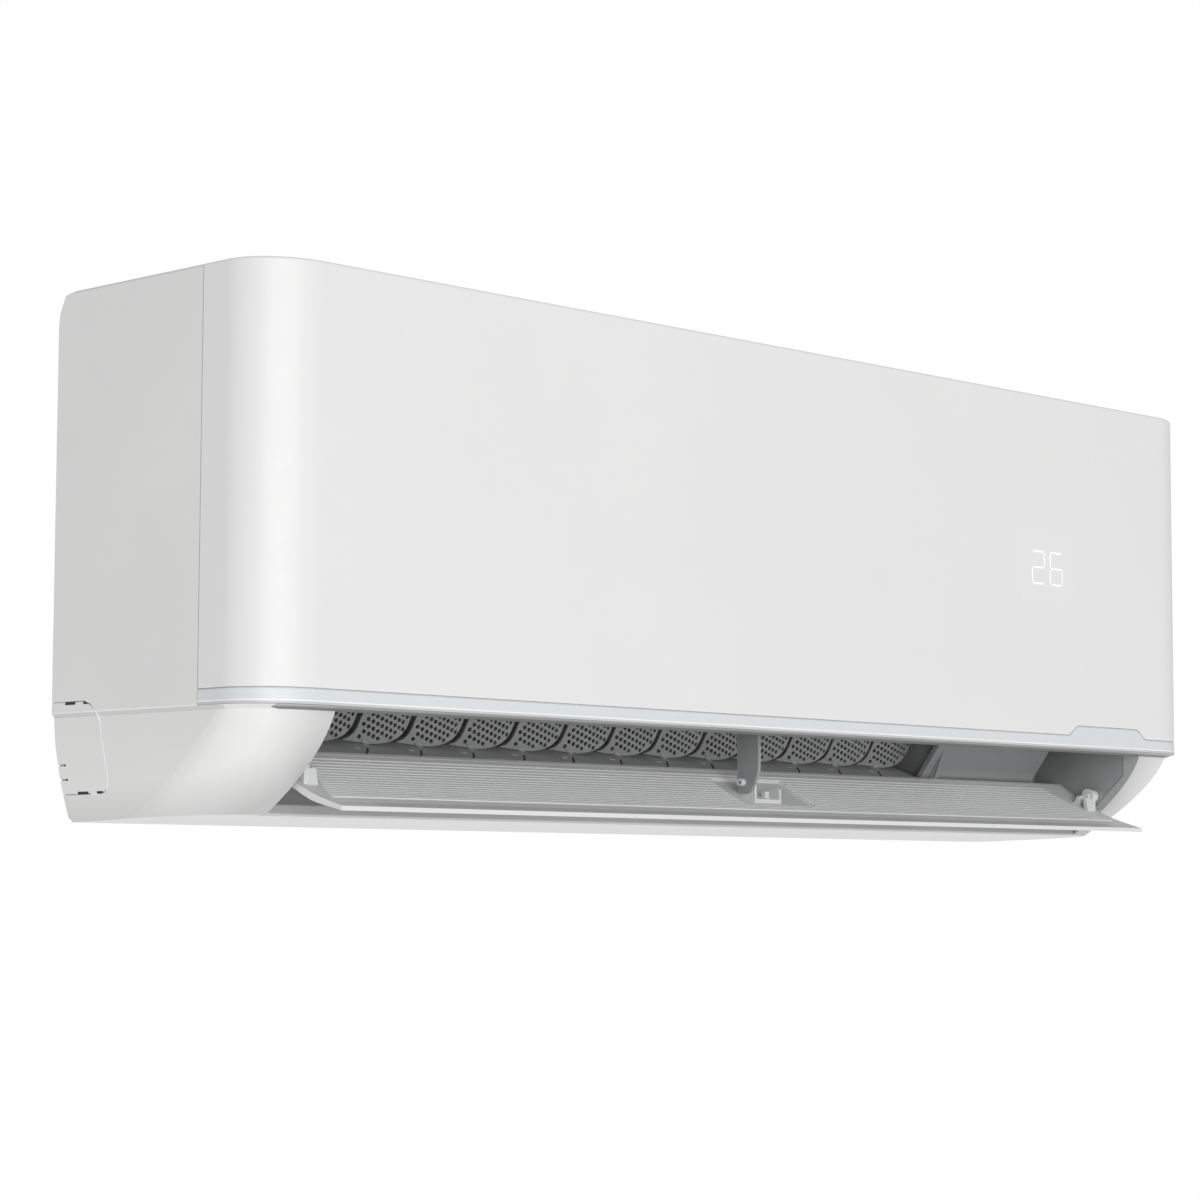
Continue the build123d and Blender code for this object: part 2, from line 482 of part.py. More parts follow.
bar = Pos((pivots[0] + pivots[-1]) / 2 + lx, ly, VANE_H + 2.2) * Box(VANE_PITCH * 12 + 11, 7.0, 2.0)
for i, px in enumerate(pivots):
    bar = bar - Pos(px + lx, ly, VANE_H + 2) * Cylinder(1.45 if i == VANES - 1 else 1.9, 8)
parts["vane_link"] = VP0 * bar

# ------------------------------------------------------------------ filters
def filter_pair():
    f = fbox(3, 428, 0, 236, -1.5, 1.5) - fbox(11, 420, 8, 228, -4, 4)
    f = f + fbox(190, 240, 233, 239, -1.5, 1.5)
    f = f - fbox(200, 230, 229, 234, -4, 4)
    for x in (92.5, 154.5, 276.5, 338.5, 215.5):
        f = f + fbox(x - 1, x + 1, 7.5, 228.5, 0.3, 1.5)
    for s in (44, 81, 118, 155, 192):
        f = f + fbox(10.5, 420.5, s - 1, s + 1, 0.3, 1.5)
    m = fbox(11, 420, 8, 228, -0.3, 0.3)
    return f, m


f_r, m_r = filter_pair()
parts["filter_frame_right"], parts["filter_mesh_right"] = f_r, m_r
parts["filter_frame_left"], parts["filter_mesh_left"] = mirror_x(f_r), mirror_x(m_r)

# ------------------------------------------------------------------ heat exchanger
def slab(p, along, normal, length, thick, x0, x1):
    a = p
    b = (p[0] + along[0] * length, p[1] + along[1] * length)
    c = (b[0] - normal[0] * thick, b[1] - normal[1] * thick)
    d = (a[0] - normal[0] * thick, a[1] - normal[1] * thick)
    return [a, b, c, d]


ft = math.radians(FILTER_TILT)
u1, n1 = (math.sin(ft), math.cos(ft)), (-math.cos(ft), math.sin(ft))
P1 = (-184 + 26 * u1[0] - 9 * n1[0], 28 + 26 * u1[1] - 9 * n1[1])
u2, n2 = (0.6428, 0.7660), (-0.7660, 0.6428)
P2 = (-141.5, 152.5)
u3, n3 = (0.5, -0.8660), (0.8660, 0.5)
P3 = (-45.2, 213.0)
S1 = slab(P1, u1, n1, 94, 22, 0, 0)
S2 = slab(P2, u2, n2, 86, 22, 0, 0)
S3 = slab(P3, u3, n3, 62, 20, 0, 0)
CX0, CX1 = -400.0, 340.0
parts["coil_front_lower"] = prism_x(S1, CX0, CX1)
parts["coil_front_upper"] = prism_x(S2, CX0, CX1)
parts["coil_rear"] = prism_x(S3, CX0, CX1)
hull = [S1[0], S1[1], P2, S2[1], S3[0], S3[1], S3[2], S3[3], S2[2], S2[3], S1[2], S1[3]]
parts["coil_end_plates"] = Compound(children=[prism_x(hull, CX0 - 1.5, CX0).solids()[0], prism_x(hull, CX1, CX1 + 1.5).solids()[0]])
tubes = []


def ubend(x, cy, cz, uy, uz, gap, sgn):
    prof = Plane(origin=(x, cy + uy * gap / 2, cz + uz * gap / 2), x_dir=(0, uy, uz), z_dir=(1, 0, 0)) * Circle(3.5)
    t = revolve(prof, axis=Axis((x, cy, cz), (0, -uz, uy)), revolution_arc=180)
    if (t.bounding_box().center().X - x) * sgn < 0:
        t = revolve(prof, axis=Axis((x, cy, cz), (0, uz, -uy)), revolution_arc=180)
    return t


for S, u, n, L, th in ((S1, u1, n1, 94, 22), (S2, u2, n2, 86, 22), (S3, u3, n3, 62, 20)):
    k = int(L // 21)
    m0 = (L - (k - 1) * 21) / 2
    for row in (0.28, 0.72):
        for i in range(k - 1):
            for xx, sgn, ph in ((CX0 - 1.5, -1, 0), (CX1 + 1.5, 1, 1)):
                if i % 2 == ph:
                    s = m0 + 21 * (i + 0.5)
                    cy = S[0][0] + u[0] * s - n[0] * th * row
                    cz = S[0][1] + u[1] * s - n[1] * th * row
                    tubes.append(ubend(xx, cy, cz, u[0], u[1], 21.0, sgn))
parts["coil_tubes"] = Compound(children=[t.solids()[0] if hasattr(t, "solids") else t for t in tubes])
parts["air_sensor"] = box(341.5, 350, -164.3, -158.6, 96, 104) + cyl_x(349.5, 366, -161.4, 100, 2.4)

# ------------------------------------------------------------------ cross-flow wheel
def blade_face(x):
    fs = []
    nb = 32
    for k in range(nb):
        a0 = 2 * math.pi * k / nb
        pts = []
        for r, da in ((FAN_R - 0.4, 0.0), (FAN_R - 4, 0.055), (FAN_R - 8, 0.075), (FAN_R - 11, 0.07)):
            pts.append((r, a0 - da))
        th = 0.9
        lo = [(r * math.cos(a) , r * math.sin(a)) for r, a in pts]
        hi = [(r * math.cos(a + th / r), r * math.sin(a + th / r)) for r, a in pts]
        fs.append([(FAN[0] + p[0], FAN[1] + p[1]) for p in lo + hi[::-1]])
    return fs


fan_solids = [prism_x(p, FAN_X0, FAN_X1) for p in blade_face(0)]
nseg = 8
seg = (FAN_X1 - FAN_X0 - 3.0) / nseg
discs = []
for i in range(nseg + 1):
    x = FAN_X0 + i * seg
    d = cyl_x(x, x + 3.0, FAN[0], FAN[1], FAN_R)
    if 0 < i < nseg:
        d = d - cyl_x(x - 1, x + 4, FAN[0], FAN[1], FAN_R - 12)
    discs.append(d)
hub_r = cyl_x(FAN_X1 - 20, FAN_X1, FAN[0], FAN[1], 11)
hub_l = cyl_x(FAN_X0, FAN_X0 + 14, FAN[0], FAN[1], 9)
fan = discs[0].fuse(*(discs[1:] + fan_solids + [hub_r, hub_l]))
fan = fan - cyl_x(FAN_X1 - 16, FAN_X1 + 5, FAN[0], FAN[1], 4.03) - cyl_x(FAN_X0 - 5, FAN_X0 + 10, FAN[0], FAN[1], 4.03)
parts["fan_wheel"] = fan
parts["fan_shaft"] = Compound(children=[cyl_x(FAN_X1 - 16, 300, FAN[0], FAN[1], 4.0).solids()[0],
                                        cyl_x(-391, FAN_X0 + 10, FAN[0], FAN[1], 4.0).solids()[0]])
parts["fan_bearing"] = tube_x(-387, -378, FAN[0], FAN[1], 4.05, 9)
parts["bearing_seat"] = tube_x(-388.5, -375, FAN[0], FAN[1], 9, 13.9)
motor = cyl_x(262, 316, FAN[0], FAN[1], 36) + cyl_x(256, 262.1, FAN[0], FAN[1], 12)
motor = motor - cyl_x(250, 301, FAN[0], FAN[1], 4.05)
parts["fan_motor"] = motor
clamp = tube_x(272, 308, FAN[0], FAN[1], 36.2, 39) - box(260, 320, -140, 0, 0, FAN[1] + 0.3)
parts["motor_clamp"] = clamp
parts["flap_motor"] = cyl_x(409.8, 428, py + 5.7, pz + 5.7, 14) + \
    box(409.8, 411.2, py - 18, py + 29, pz + 1.5, pz + 10) & box(400, 440, -170, -100, -60, 20)
parts["flap_motor"] = parts["flap_motor"] - cyl_x(405, 413, py, pz, 3.05)
vm = Pos(pivots[-1] - 8, 0, -14) * Cylinder(14, 17.8) - Pos(pivots[-1], 0, -6) * Cylinder(2.55, 6)
parts["vane_motor"] = VP0 * vm

# ------------------------------------------------------------------ electrics on the right
cbox = box(388, 452, -128, -40, 62, 222) - box(390, 450, -140, -42, 64, 220)
cbox = cbox - cyl_x(380, 395, -60, 90, 6)
parts["control_box"] = cbox
parts["control_box_lid"] = box(387, 453, -130, -128, 61, 223)
board = [box(398, 399.6, -122, -46, 72, 212).solids()[0]]
comp = [cyl_x(399.6, 424, -108, 196, 11), cyl_x(399.6, 424, -82, 196, 11), cyl_x(399.6, 418, -60, 198, 6),
        box(399.6, 418, -119, -98, 150, 172), box(399.6, 414, -92, -78, 150, 172), box(399.6, 422, -70, -52, 140, 178),
        box(399.6, 412, -119, -96, 110, 134), box(399.6, 404, -86, -58, 104, 126), box(399.6, 410, -120, -56, 78, 90)]
parts["main_board"] = Compound(children=board + [c.solids()[0] for c in comp])
tb = box(394, 442, -130, -110, 36, 60)
for i in range(4):
    tb = tb - box(397 + i * 11, 406 + i * 11, -135, -124, 40, 60.5)
parts["terminal_block"] = tb

# ------------------------------------------------------------------ pipes in the rear channel
gas_path = FilletPolyline((342, -60, 150), (372, -60, 150), (372, -60, 30), (372, -24, -22), (340, -24, -24), (60, -24, -24),
                          radius=12)
liq_path = FilletPolyline((342, -74, 106), (358, -74, 106), (358, -74, 24), (358, -26, -36), (326, -24, -42), (72, -24, -42),
                          radius=9)


def sweep_tube(path, r_o, r_i):
    s = sweep(Plane(origin=path @ 0, z_dir=path % 0) * (Circle(r_o) - Circle(r_i)), path=path)
    return s


gas = sweep_tube(gas_path, 4.76, 3.96)
liq = sweep_tube(liq_path, 3.18, 2.38)
parts["refrigerant_pipes"] = Compound(children=[gas.solids()[0], liq.solids()[0]])


def nut(x0, x1, y, z, af, bore):
    h = Plane(origin=(x0, y, z), x_dir=(0, 1, 0), z_dir=(1, 0, 0)) * RegularPolygon(af / 2, 6, major_radius=False)
    n = extrude(h, amount=x1 - x0)
    return n - cyl_x(x0 - 1, x1 + 1, y, z, bore)


parts["flare_nuts"] = Compound(children=[nut(56, 76, -24, -24, 19.0, 4.78).solids()[0], nut(84, 101, -24, -42, 14.0, 3.2).solids()[0]])
parts["pipe_clamp"] = box(296, 308, -16.6, -14.6, -56, 5.8) + box(296, 308, -38, -14.6, 3.8, 5.8)

# ------------------------------------------------------------------ rear chassis
ch = box(-464, 464, -11.5, -9, 6, 256)
ch = ch + box(461.5, 464, -50, -9.1, 8.4, 250) + box(-464, -461.5, -50, -9.1, 8.4, 250)
shelf = box(-458, 458, -40.5, -11.5, 6, 8.5)
apron = box(-452, 452, -40.5, -38, -58.0, 6)
for x in (-410, -120, 120, 410):
    ch = ch + box(x - 1.2, x + 1.2, -13.4, -11.4, 8.4, 252)
for x in (-330, -110, 110, 236):
    ch = ch + box(x - 1.2, x + 1.2, -30, -11.4, 60, 100)
# rear gutter under the rear part of the heat exchanger
ch = ch + prism_x([(-11.5, 128), (-31.5, 108), (-33.4, 108), (-33.4, 112), (-31.5, 112), (-11.5, 132)], -398, 338)
for x in (-220, 0, 220):
    ch = ch - box(x - 15, x + 15, -22, -5, 190, 208)
window = box(346, 388, -42, -12, -32, 20)
ch = ch - window
ch = ch - duct
ch = max(ch.solids(), key=lambda s: s.volume)
shelf = max((shelf - window - duct - ch).solids(), key=lambda s: s.volume)
apron = max((apron - window - duct).solids(), key=lambda s: s.volume)
parts["rear_chassis"] = Compound(children=[ch, shelf, apron])

# ------------------------------------------------------------------ wall plate
PW, PH = 580.0, 240.0
wp = box(-PW / 2, PW / 2, -1.5, 0, PLATE_Z - PH / 2, PLATE_Z + PH / 2)
wp = wp + box(-PW / 2, PW / 2, -7.5, -1.4, PLATE_Z + PH / 2 - 1.5, PLATE_Z + PH / 2) \
    + box(-PW / 2, PW / 2, -7.5, -1.4, PLATE_Z - PH / 2, PLATE_Z - PH / 2 + 1.5)
for x in (-220, 0, 220):
    wp = wp + box(x - 12, x + 12, -16, -1.4, 206, 208) + box(x - 12, x + 12, -16, -14, 206, 217)
for z in (PLATE_Z - 40, PLATE_Z + 40):
    wp = wp + box(-PW / 2 + 20, PW / 2 - 20, -5.0, -1.4, z - 6, z + 6) - box(-PW / 2 + 22, PW / 2 - 22, -3.4, 1, z - 4.4, z + 4.4)
for x in (-PW / 2 + 42, PW / 2 - 42):
    wp = wp - cyl_y(-3, 2, x, PLATE_Z - PH / 2 + 12, 32.5) - box(x - 32.5, x + 32.5, -9, 2, PLATE_Z - PH / 2 - 5, PLATE_Z - PH / 2 + 12)
for x in (-PLATE_HOLES[0] / 2, PLATE_HOLES[0] / 2):
    for z in (PLATE_Z - PLATE_HOLES[1] / 2, PLATE_Z + PLATE_HOLES[1] / 2):
        wp = wp - cyl_y(-6, 2, x, z, PLATE_HOLE_R)
parts["wall_plate"] = wp

# ------------------------------------------------------------------ service button and casing screws
parts["service_button"] = cyl_y(-147, -143.4, 450, 60, 4.0) + cyl_y(-143.5, -135, 450, 60, 2.0)


def screw(x, y, z):
    # pan head screw whose axis runs along Y, head towards -Y
    s = cyl_y(y - 2.2, y, x, z, 3.6) + cyl_y(y - 0.1, y + 8, x, z, 1.9)
    s = s - box(x - 0.4, x + 0.4, y - 2.6, y - 1.2, z - 2.4, z + 2.4) - box(x - 2.4, x + 2.4, y - 2.6, y - 1.2, z - 0.4, z + 0.4)
    return s.solids()[0]


scr = [screw(x, SEAM_Y, z) for x in (-456, 456) for z in (30, 130, 222)]
parts["casing_screws"] = Compound(children=scr)
ff = parts["front_frame"]
for x in (-456, 456):
    for z in (30, 130, 222):
        ff = ff - cyl_y(-150, -130, x, z, 1.9)
parts["front_frame"] = ff

# ------------------------------------------------------------------ write
os.makedirs("parts", exist_ok=True)
shift = Location((0, 0, -PLATE_Z))
for name, shape in parts.items():
    sol = [s.moved(shift) for s in shape.solids()]
    out = sol[0] if len(sol) == 1 else Compound(children=sol)
    export_step(out, "parts/%s.step" % name)
print(len(parts), "nodes")
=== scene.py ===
import bpy
import bmesh
import json
import math
from mathutils import Vector, Matrix


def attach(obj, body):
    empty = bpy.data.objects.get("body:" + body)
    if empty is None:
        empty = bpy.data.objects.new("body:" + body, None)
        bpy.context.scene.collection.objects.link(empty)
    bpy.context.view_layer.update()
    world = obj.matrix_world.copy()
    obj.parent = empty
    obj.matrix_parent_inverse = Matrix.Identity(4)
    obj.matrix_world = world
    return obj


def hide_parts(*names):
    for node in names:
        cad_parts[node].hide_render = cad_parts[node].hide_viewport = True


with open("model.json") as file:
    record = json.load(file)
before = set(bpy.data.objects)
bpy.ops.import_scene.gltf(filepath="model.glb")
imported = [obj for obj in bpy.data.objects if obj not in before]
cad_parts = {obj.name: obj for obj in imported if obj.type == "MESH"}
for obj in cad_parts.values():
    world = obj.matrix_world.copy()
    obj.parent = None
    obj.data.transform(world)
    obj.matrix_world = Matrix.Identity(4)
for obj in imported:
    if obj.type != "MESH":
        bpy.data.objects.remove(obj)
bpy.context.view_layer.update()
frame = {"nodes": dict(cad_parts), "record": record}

MM = 0.001
ZS = 0.100            # the drawing's z = 0 is the trim strip's underside, 100 mm above the plate's centre


def P(x, y, z):
    """drawing millimetres to metres in the row frame"""
    return Vector((x * MM, y * MM, z * MM - ZS))


# ---------------------------------------------------------------- materials
def new_mat(name):
    m = bpy.data.materials.new(name)
    m.use_nodes = True
    nt = m.node_tree
    nt.nodes.clear()
    out = nt.nodes.new("ShaderNodeOutputMaterial")
    bsdf = nt.nodes.new("ShaderNodeBsdfPrincipled")
    nt.links.new(bsdf.outputs[0], out.inputs[0])
    return m, nt, bsdf


def noise(nt, scale, detail=3.0, rough=0.55, coord=None, stretch=None):
    tc = nt.nodes.new("ShaderNodeTexCoord")
    src = tc.outputs["Object"]
    if stretch:
        mp = nt.nodes.new("ShaderNodeMapping")
        mp.inputs["Scale"].default_value = stretch
        nt.links.new(src, mp.inputs["Vector"])
        src = mp.outputs["Vector"]
    n = nt.nodes.new("ShaderNodeTexNoise")
    n.inputs["Scale"].default_value = scale
    n.inputs["Detail"].default_value = detail
    n.inputs["Roughness"].default_value = rough
    nt.links.new(src, n.inputs["Vector"])
    return n.outputs["Fac"]


def ramp_mix(nt, fac, c0, c1, lo=0.35, hi=0.65):
    r = nt.nodes.new("ShaderNodeValToRGB")
    r.color_ramp.elements[0].position = lo
    r.color_ramp.elements[1].position = hi
    r.color_ramp.elements[0].color = (*c0, 1)
    r.color_ramp.elements[1].color = (*c1, 1)
    nt.links.new(fac, r.inputs["Fac"])
    return r.outputs["Color"]


def ranged(nt, fac, lo, hi, f0=0.3, f1=0.7):
    m = nt.nodes.new("ShaderNodeMapRange")
    m.inputs["From Min"].default_value = f0
    m.inputs["From Max"].default_value = f1
    m.inputs["To Min"].default_value = lo
    m.inputs["To Max"].default_value = hi
    nt.links.new(fac, m.inputs["Value"])
    return m.outputs["Result"]


def bump(nt, bsdf, height, dist, strength=1.0):
    b = nt.nodes.new("ShaderNodeBump")
    b.inputs["Strength"].default_value = strength
    b.inputs["Distance"].default_value = dist
    nt.links.new(height, b.inputs["Height"])
    nt.links.new(b.outputs["Normal"], bsdf.inputs["Normal"])
    return b


def plastic(name, col, rough=0.38, var=0.02, grain=1400.0, depth=0.00003, coat=0.0, spec=0.5, sss=0.0):
    m, nt, b = new_mat(name)
    c0 = tuple(max(0.0, c * (1 - var)) for c in col)
    c1 = tuple(min(1.0, c * (1 + var)) for c in col)
    nt.links.new(ramp_mix(nt, noise(nt, 9.0, 4.0), c0, c1), b.inputs["Base Color"])
    nt.links.new(ranged(nt, noise(nt, 60.0, 4.0), rough - 0.04, rough + 0.05), b.inputs["Roughness"])
    b.inputs["Specular IOR Level"].default_value = spec
    if coat:
        b.inputs["Coat Weight"].default_value = coat
        b.inputs["Coat Roughness"].default_value = 0.12
    if sss:
        b.inputs["Subsurface Weight"].default_value = sss
        b.inputs["Subsurface Radius"].default_value = (0.004, 0.004, 0.004)
        b.inputs["Subsurface Scale"].default_value = 0.4
    bump(nt, b, noise(nt, grain, 2.0), depth, 0.5)
    return m


def metal(name, col, rough=0.3, var=0.06, grain=500.0, depth=0.00003, stretch=None):
    m, nt, b = new_mat(name)
    b.inputs["Metallic"].default_value = 1.0
    c0 = tuple(c * (1 - var) for c in col)
    c1 = tuple(min(1.0, c * (1 + var)) for c in col)
    nt.links.new(ramp_mix(nt, noise(nt, 40.0, 5.0, stretch=stretch), c0, c1), b.inputs["Base Color"])
    nt.links.new(ranged(nt, noise(nt, 120.0, 4.0, stretch=stretch), rough - 0.07, rough + 0.1), b.inputs["Roughness"])
    bump(nt, b, noise(nt, grain, 3.0, stretch=stretch), depth, 0.6)
    return m


def wave_ribs(nt, axis, scale):
    tc = nt.nodes.new("ShaderNodeTexCoord")
    w = nt.nodes.new("ShaderNodeTexWave")
    w.wave_type = "BANDS"
    w.bands_direction = axis
    w.inputs["Scale"].default_value = scale
    w.inputs["Distortion"].default_value = 0.0
    nt.links.new(tc.outputs["Object"], w.inputs["Vector"])
    return w.outputs["Fac"]


def obj_xyz(nt):
    tc = nt.nodes.new("ShaderNodeTexCoord")
    s = nt.nodes.new("ShaderNodeSeparateXYZ")
    nt.links.new(tc.outputs["Object"], s.inputs[0])
    return s.outputs[0], s.outputs[1], s.outputs[2]


def math_node(nt, op, a, b=None):
    m = nt.nodes.new("ShaderNodeMath")
    m.operation = op
    for i, v in enumerate((a, b)):
        if v is None:
            continue
        if isinstance(v, (int, float)):
            m.inputs[i].default_value = v
        else:
            nt.links.new(v, m.inputs[i])
    return m.outputs[0]


def masked(m, mask_of, colours):
    """repaint part of a material: mask_of(nt, x, y, z) gives 0..1, colours the two noise ends there"""
    nt = m.node_tree
    b = next(n for n in nt.nodes if n.type == "BSDF_PRINCIPLED")
    src = b.inputs["Base Color"].links[0].from_socket
    x, y, z = obj_xyz(nt)
    mask = mask_of(nt, x, y, z)
    mix = nt.nodes.new("ShaderNodeMix")
    mix.data_type = "RGBA"
    nt.links.new(mask, mix.inputs["Factor"])
    nt.links.new(src, mix.inputs[6])
    nt.links.new(ramp_mix(nt, noise(nt, 14.0, 4.0), *colours), mix.inputs[7])
    nt.links.new(mix.outputs[2], b.inputs["Base Color"])
    return m


def less(nt, a, b):
    return math_node(nt, "LESS_THAN", a, b)


def more(nt, a, b):
    return math_node(nt, "GREATER_THAN", a, b)


def both(nt, *v):
    r = v[0]
    for q in v[1:]:
        r = math_node(nt, "MULTIPLY", r, q)
    return r


M = {}
M["casing_white"] = plastic("casing_white", (0.785, 0.785, 0.78), 0.42, 0.012, spec=0.8)
frame_mat = plastic("casing_white_frame", (0.785, 0.785, 0.78), 0.42, 0.012, spec=0.8)
M["panel_white"] = plastic("panel_white", (0.805, 0.802, 0.80), 0.42, 0.006, spec=0.85)
M["trim_light"] = plastic("trim_light", (0.70, 0.733, 0.75), 0.40, 0.008, spec=0.8)
M["flap_grey"] = plastic("flap_grey", (0.72, 0.72, 0.715), 0.42, 0.012)
M["lining_grey"] = plastic("lining_grey", (0.80, 0.803, 0.805), 0.5, 0.012)
M["strip_bright"] = plastic("strip_bright", (0.79, 0.79, 0.79), 0.3, 0.008)
M["duct_grey"] = plastic("duct_grey", (0.35, 0.355, 0.36), 0.6, 0.03)
M["vane_grey"] = plastic("vane_grey", (0.455, 0.46, 0.465), 0.5, 0.03)
M["grille_white"] = plastic("grille_white", (0.78, 0.78, 0.775), 0.4, 0.015)
M["tray_grey"] = plastic("tray_grey", (0.35, 0.355, 0.36), 0.6, 0.03)
M["chassis_white"] = plastic("chassis_white", (0.68, 0.68, 0.67), 0.5, 0.02)
M["filter_frame"] = plastic("filter_frame", (0.66, 0.69, 0.72), 0.5, 0.02)
M["plate_steel"] = metal("plate_steel", (0.62, 0.63, 0.65), 0.42, 0.08, 200.0)
M["copper"] = metal("copper", (0.72, 0.38, 0.24), 0.28, 0.08)
M["brass"] = metal("brass", (0.75, 0.58, 0.3), 0.26, 0.05)
M["wheel_black"] = plastic("wheel_black", (0.2, 0.2, 0.205), 0.45, 0.1)
M["shaft_steel"] = metal("shaft_steel", (0.6, 0.6, 0.61), 0.22, 0.04, 900.0)
M["rubber_black"] = plastic("rubber_black", (0.03, 0.03, 0.03), 0.75, 0.15)
M["motor_body"] = metal("motor_body", (0.55, 0.56, 0.57), 0.4, 0.05)
M["stepper_body"] = metal("stepper_body", (0.6, 0.6, 0.6), 0.35, 0.05)
M["box_plastic"] = plastic("box_plastic", (0.12, 0.12, 0.125), 0.5, 0.08)
M["board_green"] = plastic("board_green", (0.04, 0.17, 0.07), 0.35, 0.12)
M["terminal_white"] = plastic("terminal_white", (0.7, 0.69, 0.64), 0.5, 0.03)
M["screw_steel"] = metal("screw_steel", (0.62, 0.61, 0.58), 0.3, 0.08, 900.0)
M["button_white"] = plastic("button_white", (0.76, 0.76, 0.755), 0.35, 0.015)
clip_mat = plastic("vane_grey_clip", (0.56, 0.565, 0.57), 0.45, 0.03)
# painted shade for the floor slots and the pin's bore
slot_painted_shade = plastic("duct_grey_slot_shade", (0.12, 0.122, 0.125), 0.7, 0.05)
# painted shadow for the bottoms of the break-off slots
painted_shadow_back = plastic("casing_shadow_back", (0.04, 0.04, 0.04), 0.8, 0.1)
# painted shade for the bottoms of the slits and the cover's rear joint
slit_shade_grey = plastic("casing_slit_shade_grey", (0.42, 0.42, 0.418), 0.6, 0.03)
# painted highlight for the bead along the break-out cover's edge
highlight_bead_mat = plastic("casing_white_highlight_bead", (0.93, 0.93, 0.925), 0.35, 0.01, spec=0.8)

# the inside walls of the outlet and the under-edge over it are moulded in the duct's grey
masked(frame_mat,
       lambda nt, x, y, z: both(nt, less(nt, math_node(nt, "ABSOLUTE", x), 0.4074), less(nt, z, -0.0935), more(nt, y, -0.1914)),
       ((0.355, 0.36, 0.365), (0.385, 0.39, 0.395)))


def mouth_rim(nt, y, z):
    """signed distance (metres) in front of the step line on the mouth's side walls"""
    a = math_node(nt, "MULTIPLY", math_node(nt, "ADD", y, 0.1767), -0.6650)
    b = math_node(nt, "MULTIPLY", math_node(nt, "ADD", z, 0.1172), -0.7469)
    return math_node(nt, "MAXIMUM", math_node(nt, "ADD", a, b), math_node(nt, "MULTIPLY", math_node(nt, "ADD", y, 0.1766), -1.0))


def on_wall(nt, x):
    ax = math_node(nt, "ABSOLUTE", x)
    return math_node(nt, "MULTIPLY", more(nt, ax, 0.4062), less(nt, ax, 0.4074))


# a paler rim in front of the step line on the side walls, and painted shade along the step line itself
masked(frame_mat,
       lambda nt, x, y, z: both(nt, on_wall(nt, x), less(nt, z, -0.0985), more(nt, y, -0.1914), more(nt, mouth_rim(nt, y, z), 0.0)),
       ((0.50, 0.505, 0.51), (0.53, 0.535, 0.54)))
# painted shade: a dark band along the step line
masked(frame_mat,
       lambda nt, x, y, z: both(nt, on_wall(nt, x), less(nt, z, -0.0985), more(nt, y, -0.1914), more(nt, mouth_rim(nt, y, z), -0.0006),
                                less(nt, mouth_rim(nt, y, z), 0.0003)),
       ((0.22, 0.224, 0.228), (0.25, 0.254, 0.258)))
# painted light: the floor of the outlet is painted paler than its walls
masked(M["duct_grey"],
       lambda nt, x, y, z: both(nt, less(nt, x, 0.2412), less(nt, z, -0.1075), more(nt, y, -0.1164), less(nt, y, -0.069)),
       ((0.60, 0.605, 0.61), (0.63, 0.635, 0.64)))
# painted shade on the lower half of the lip under the trim, darker towards its foot, and on the step below it along the
# sides
for z0, z1, v in ((-0.1006, -0.1000, 0.47), (-0.1011, -0.1006, 0.39), (-0.1026, -0.1011, 0.17)):
    masked(frame_mat,
           lambda nt, x, y, z: both(nt, less(nt, math_node(nt, "ABSOLUTE", x), 0.452), less(nt, z, z1), more(nt, z, z0),
                                    less(nt, y, -0.187)),
           ((v, v + 0.005, v + 0.005), (v + 0.02, v + 0.025, v + 0.025)))
for mm in (frame_mat, M["casing_white"]):
    # painted shadow: a grey band on the step below the seam along the sides
    masked(mm,
           lambda nt, x, y, z: both(nt, more(nt, math_node(nt, "ABSOLUTE", x), 0.46), less(nt, z, -0.1001), more(nt, z, -0.1026),
                                    more(nt, y, -0.165)),
           ((0.61, 0.61, 0.605), (0.64, 0.64, 0.635)))
    # painted highlight: a pale line on the edge above that band
    masked(mm,
           lambda nt, x, y, z: both(nt, more(nt, math_node(nt, "ABSOLUTE", x), 0.469), less(nt, z, -0.0993), more(nt, z, -0.1001),
                                    more(nt, y, -0.165)),
           ((0.90, 0.90, 0.895), (0.93, 0.93, 0.925)))
# painted shade: the top of the flap between the lining and the bright nose is darker
masked(M["flap_grey"],
       lambda nt, x, y, z: both(nt, less(nt, y, -0.1848), less(nt, math_node(nt, "ABSOLUTE", x), 0.3712),
                                more(nt, math_node(nt, "SUBTRACT", z, math_node(nt, "MULTIPLY", y, 0.28)), -0.1042)),
       ((0.62, 0.622, 0.625), (0.65, 0.652, 0.655)))
# painted highlight: a pale line along the lower edge of the trim, with painted shade on the band below it
masked(M["trim_light"], lambda nt, x, y, z: less(nt, z, -0.09735), ((0.93, 0.935, 0.94), (0.95, 0.955, 0.96)))
# painted shade on the band below the highlight
masked(M["trim_light"], lambda nt, x, y, z: less(nt, z, -0.09815), ((0.575, 0.58, 0.583), (0.595, 0.60, 0.603)))
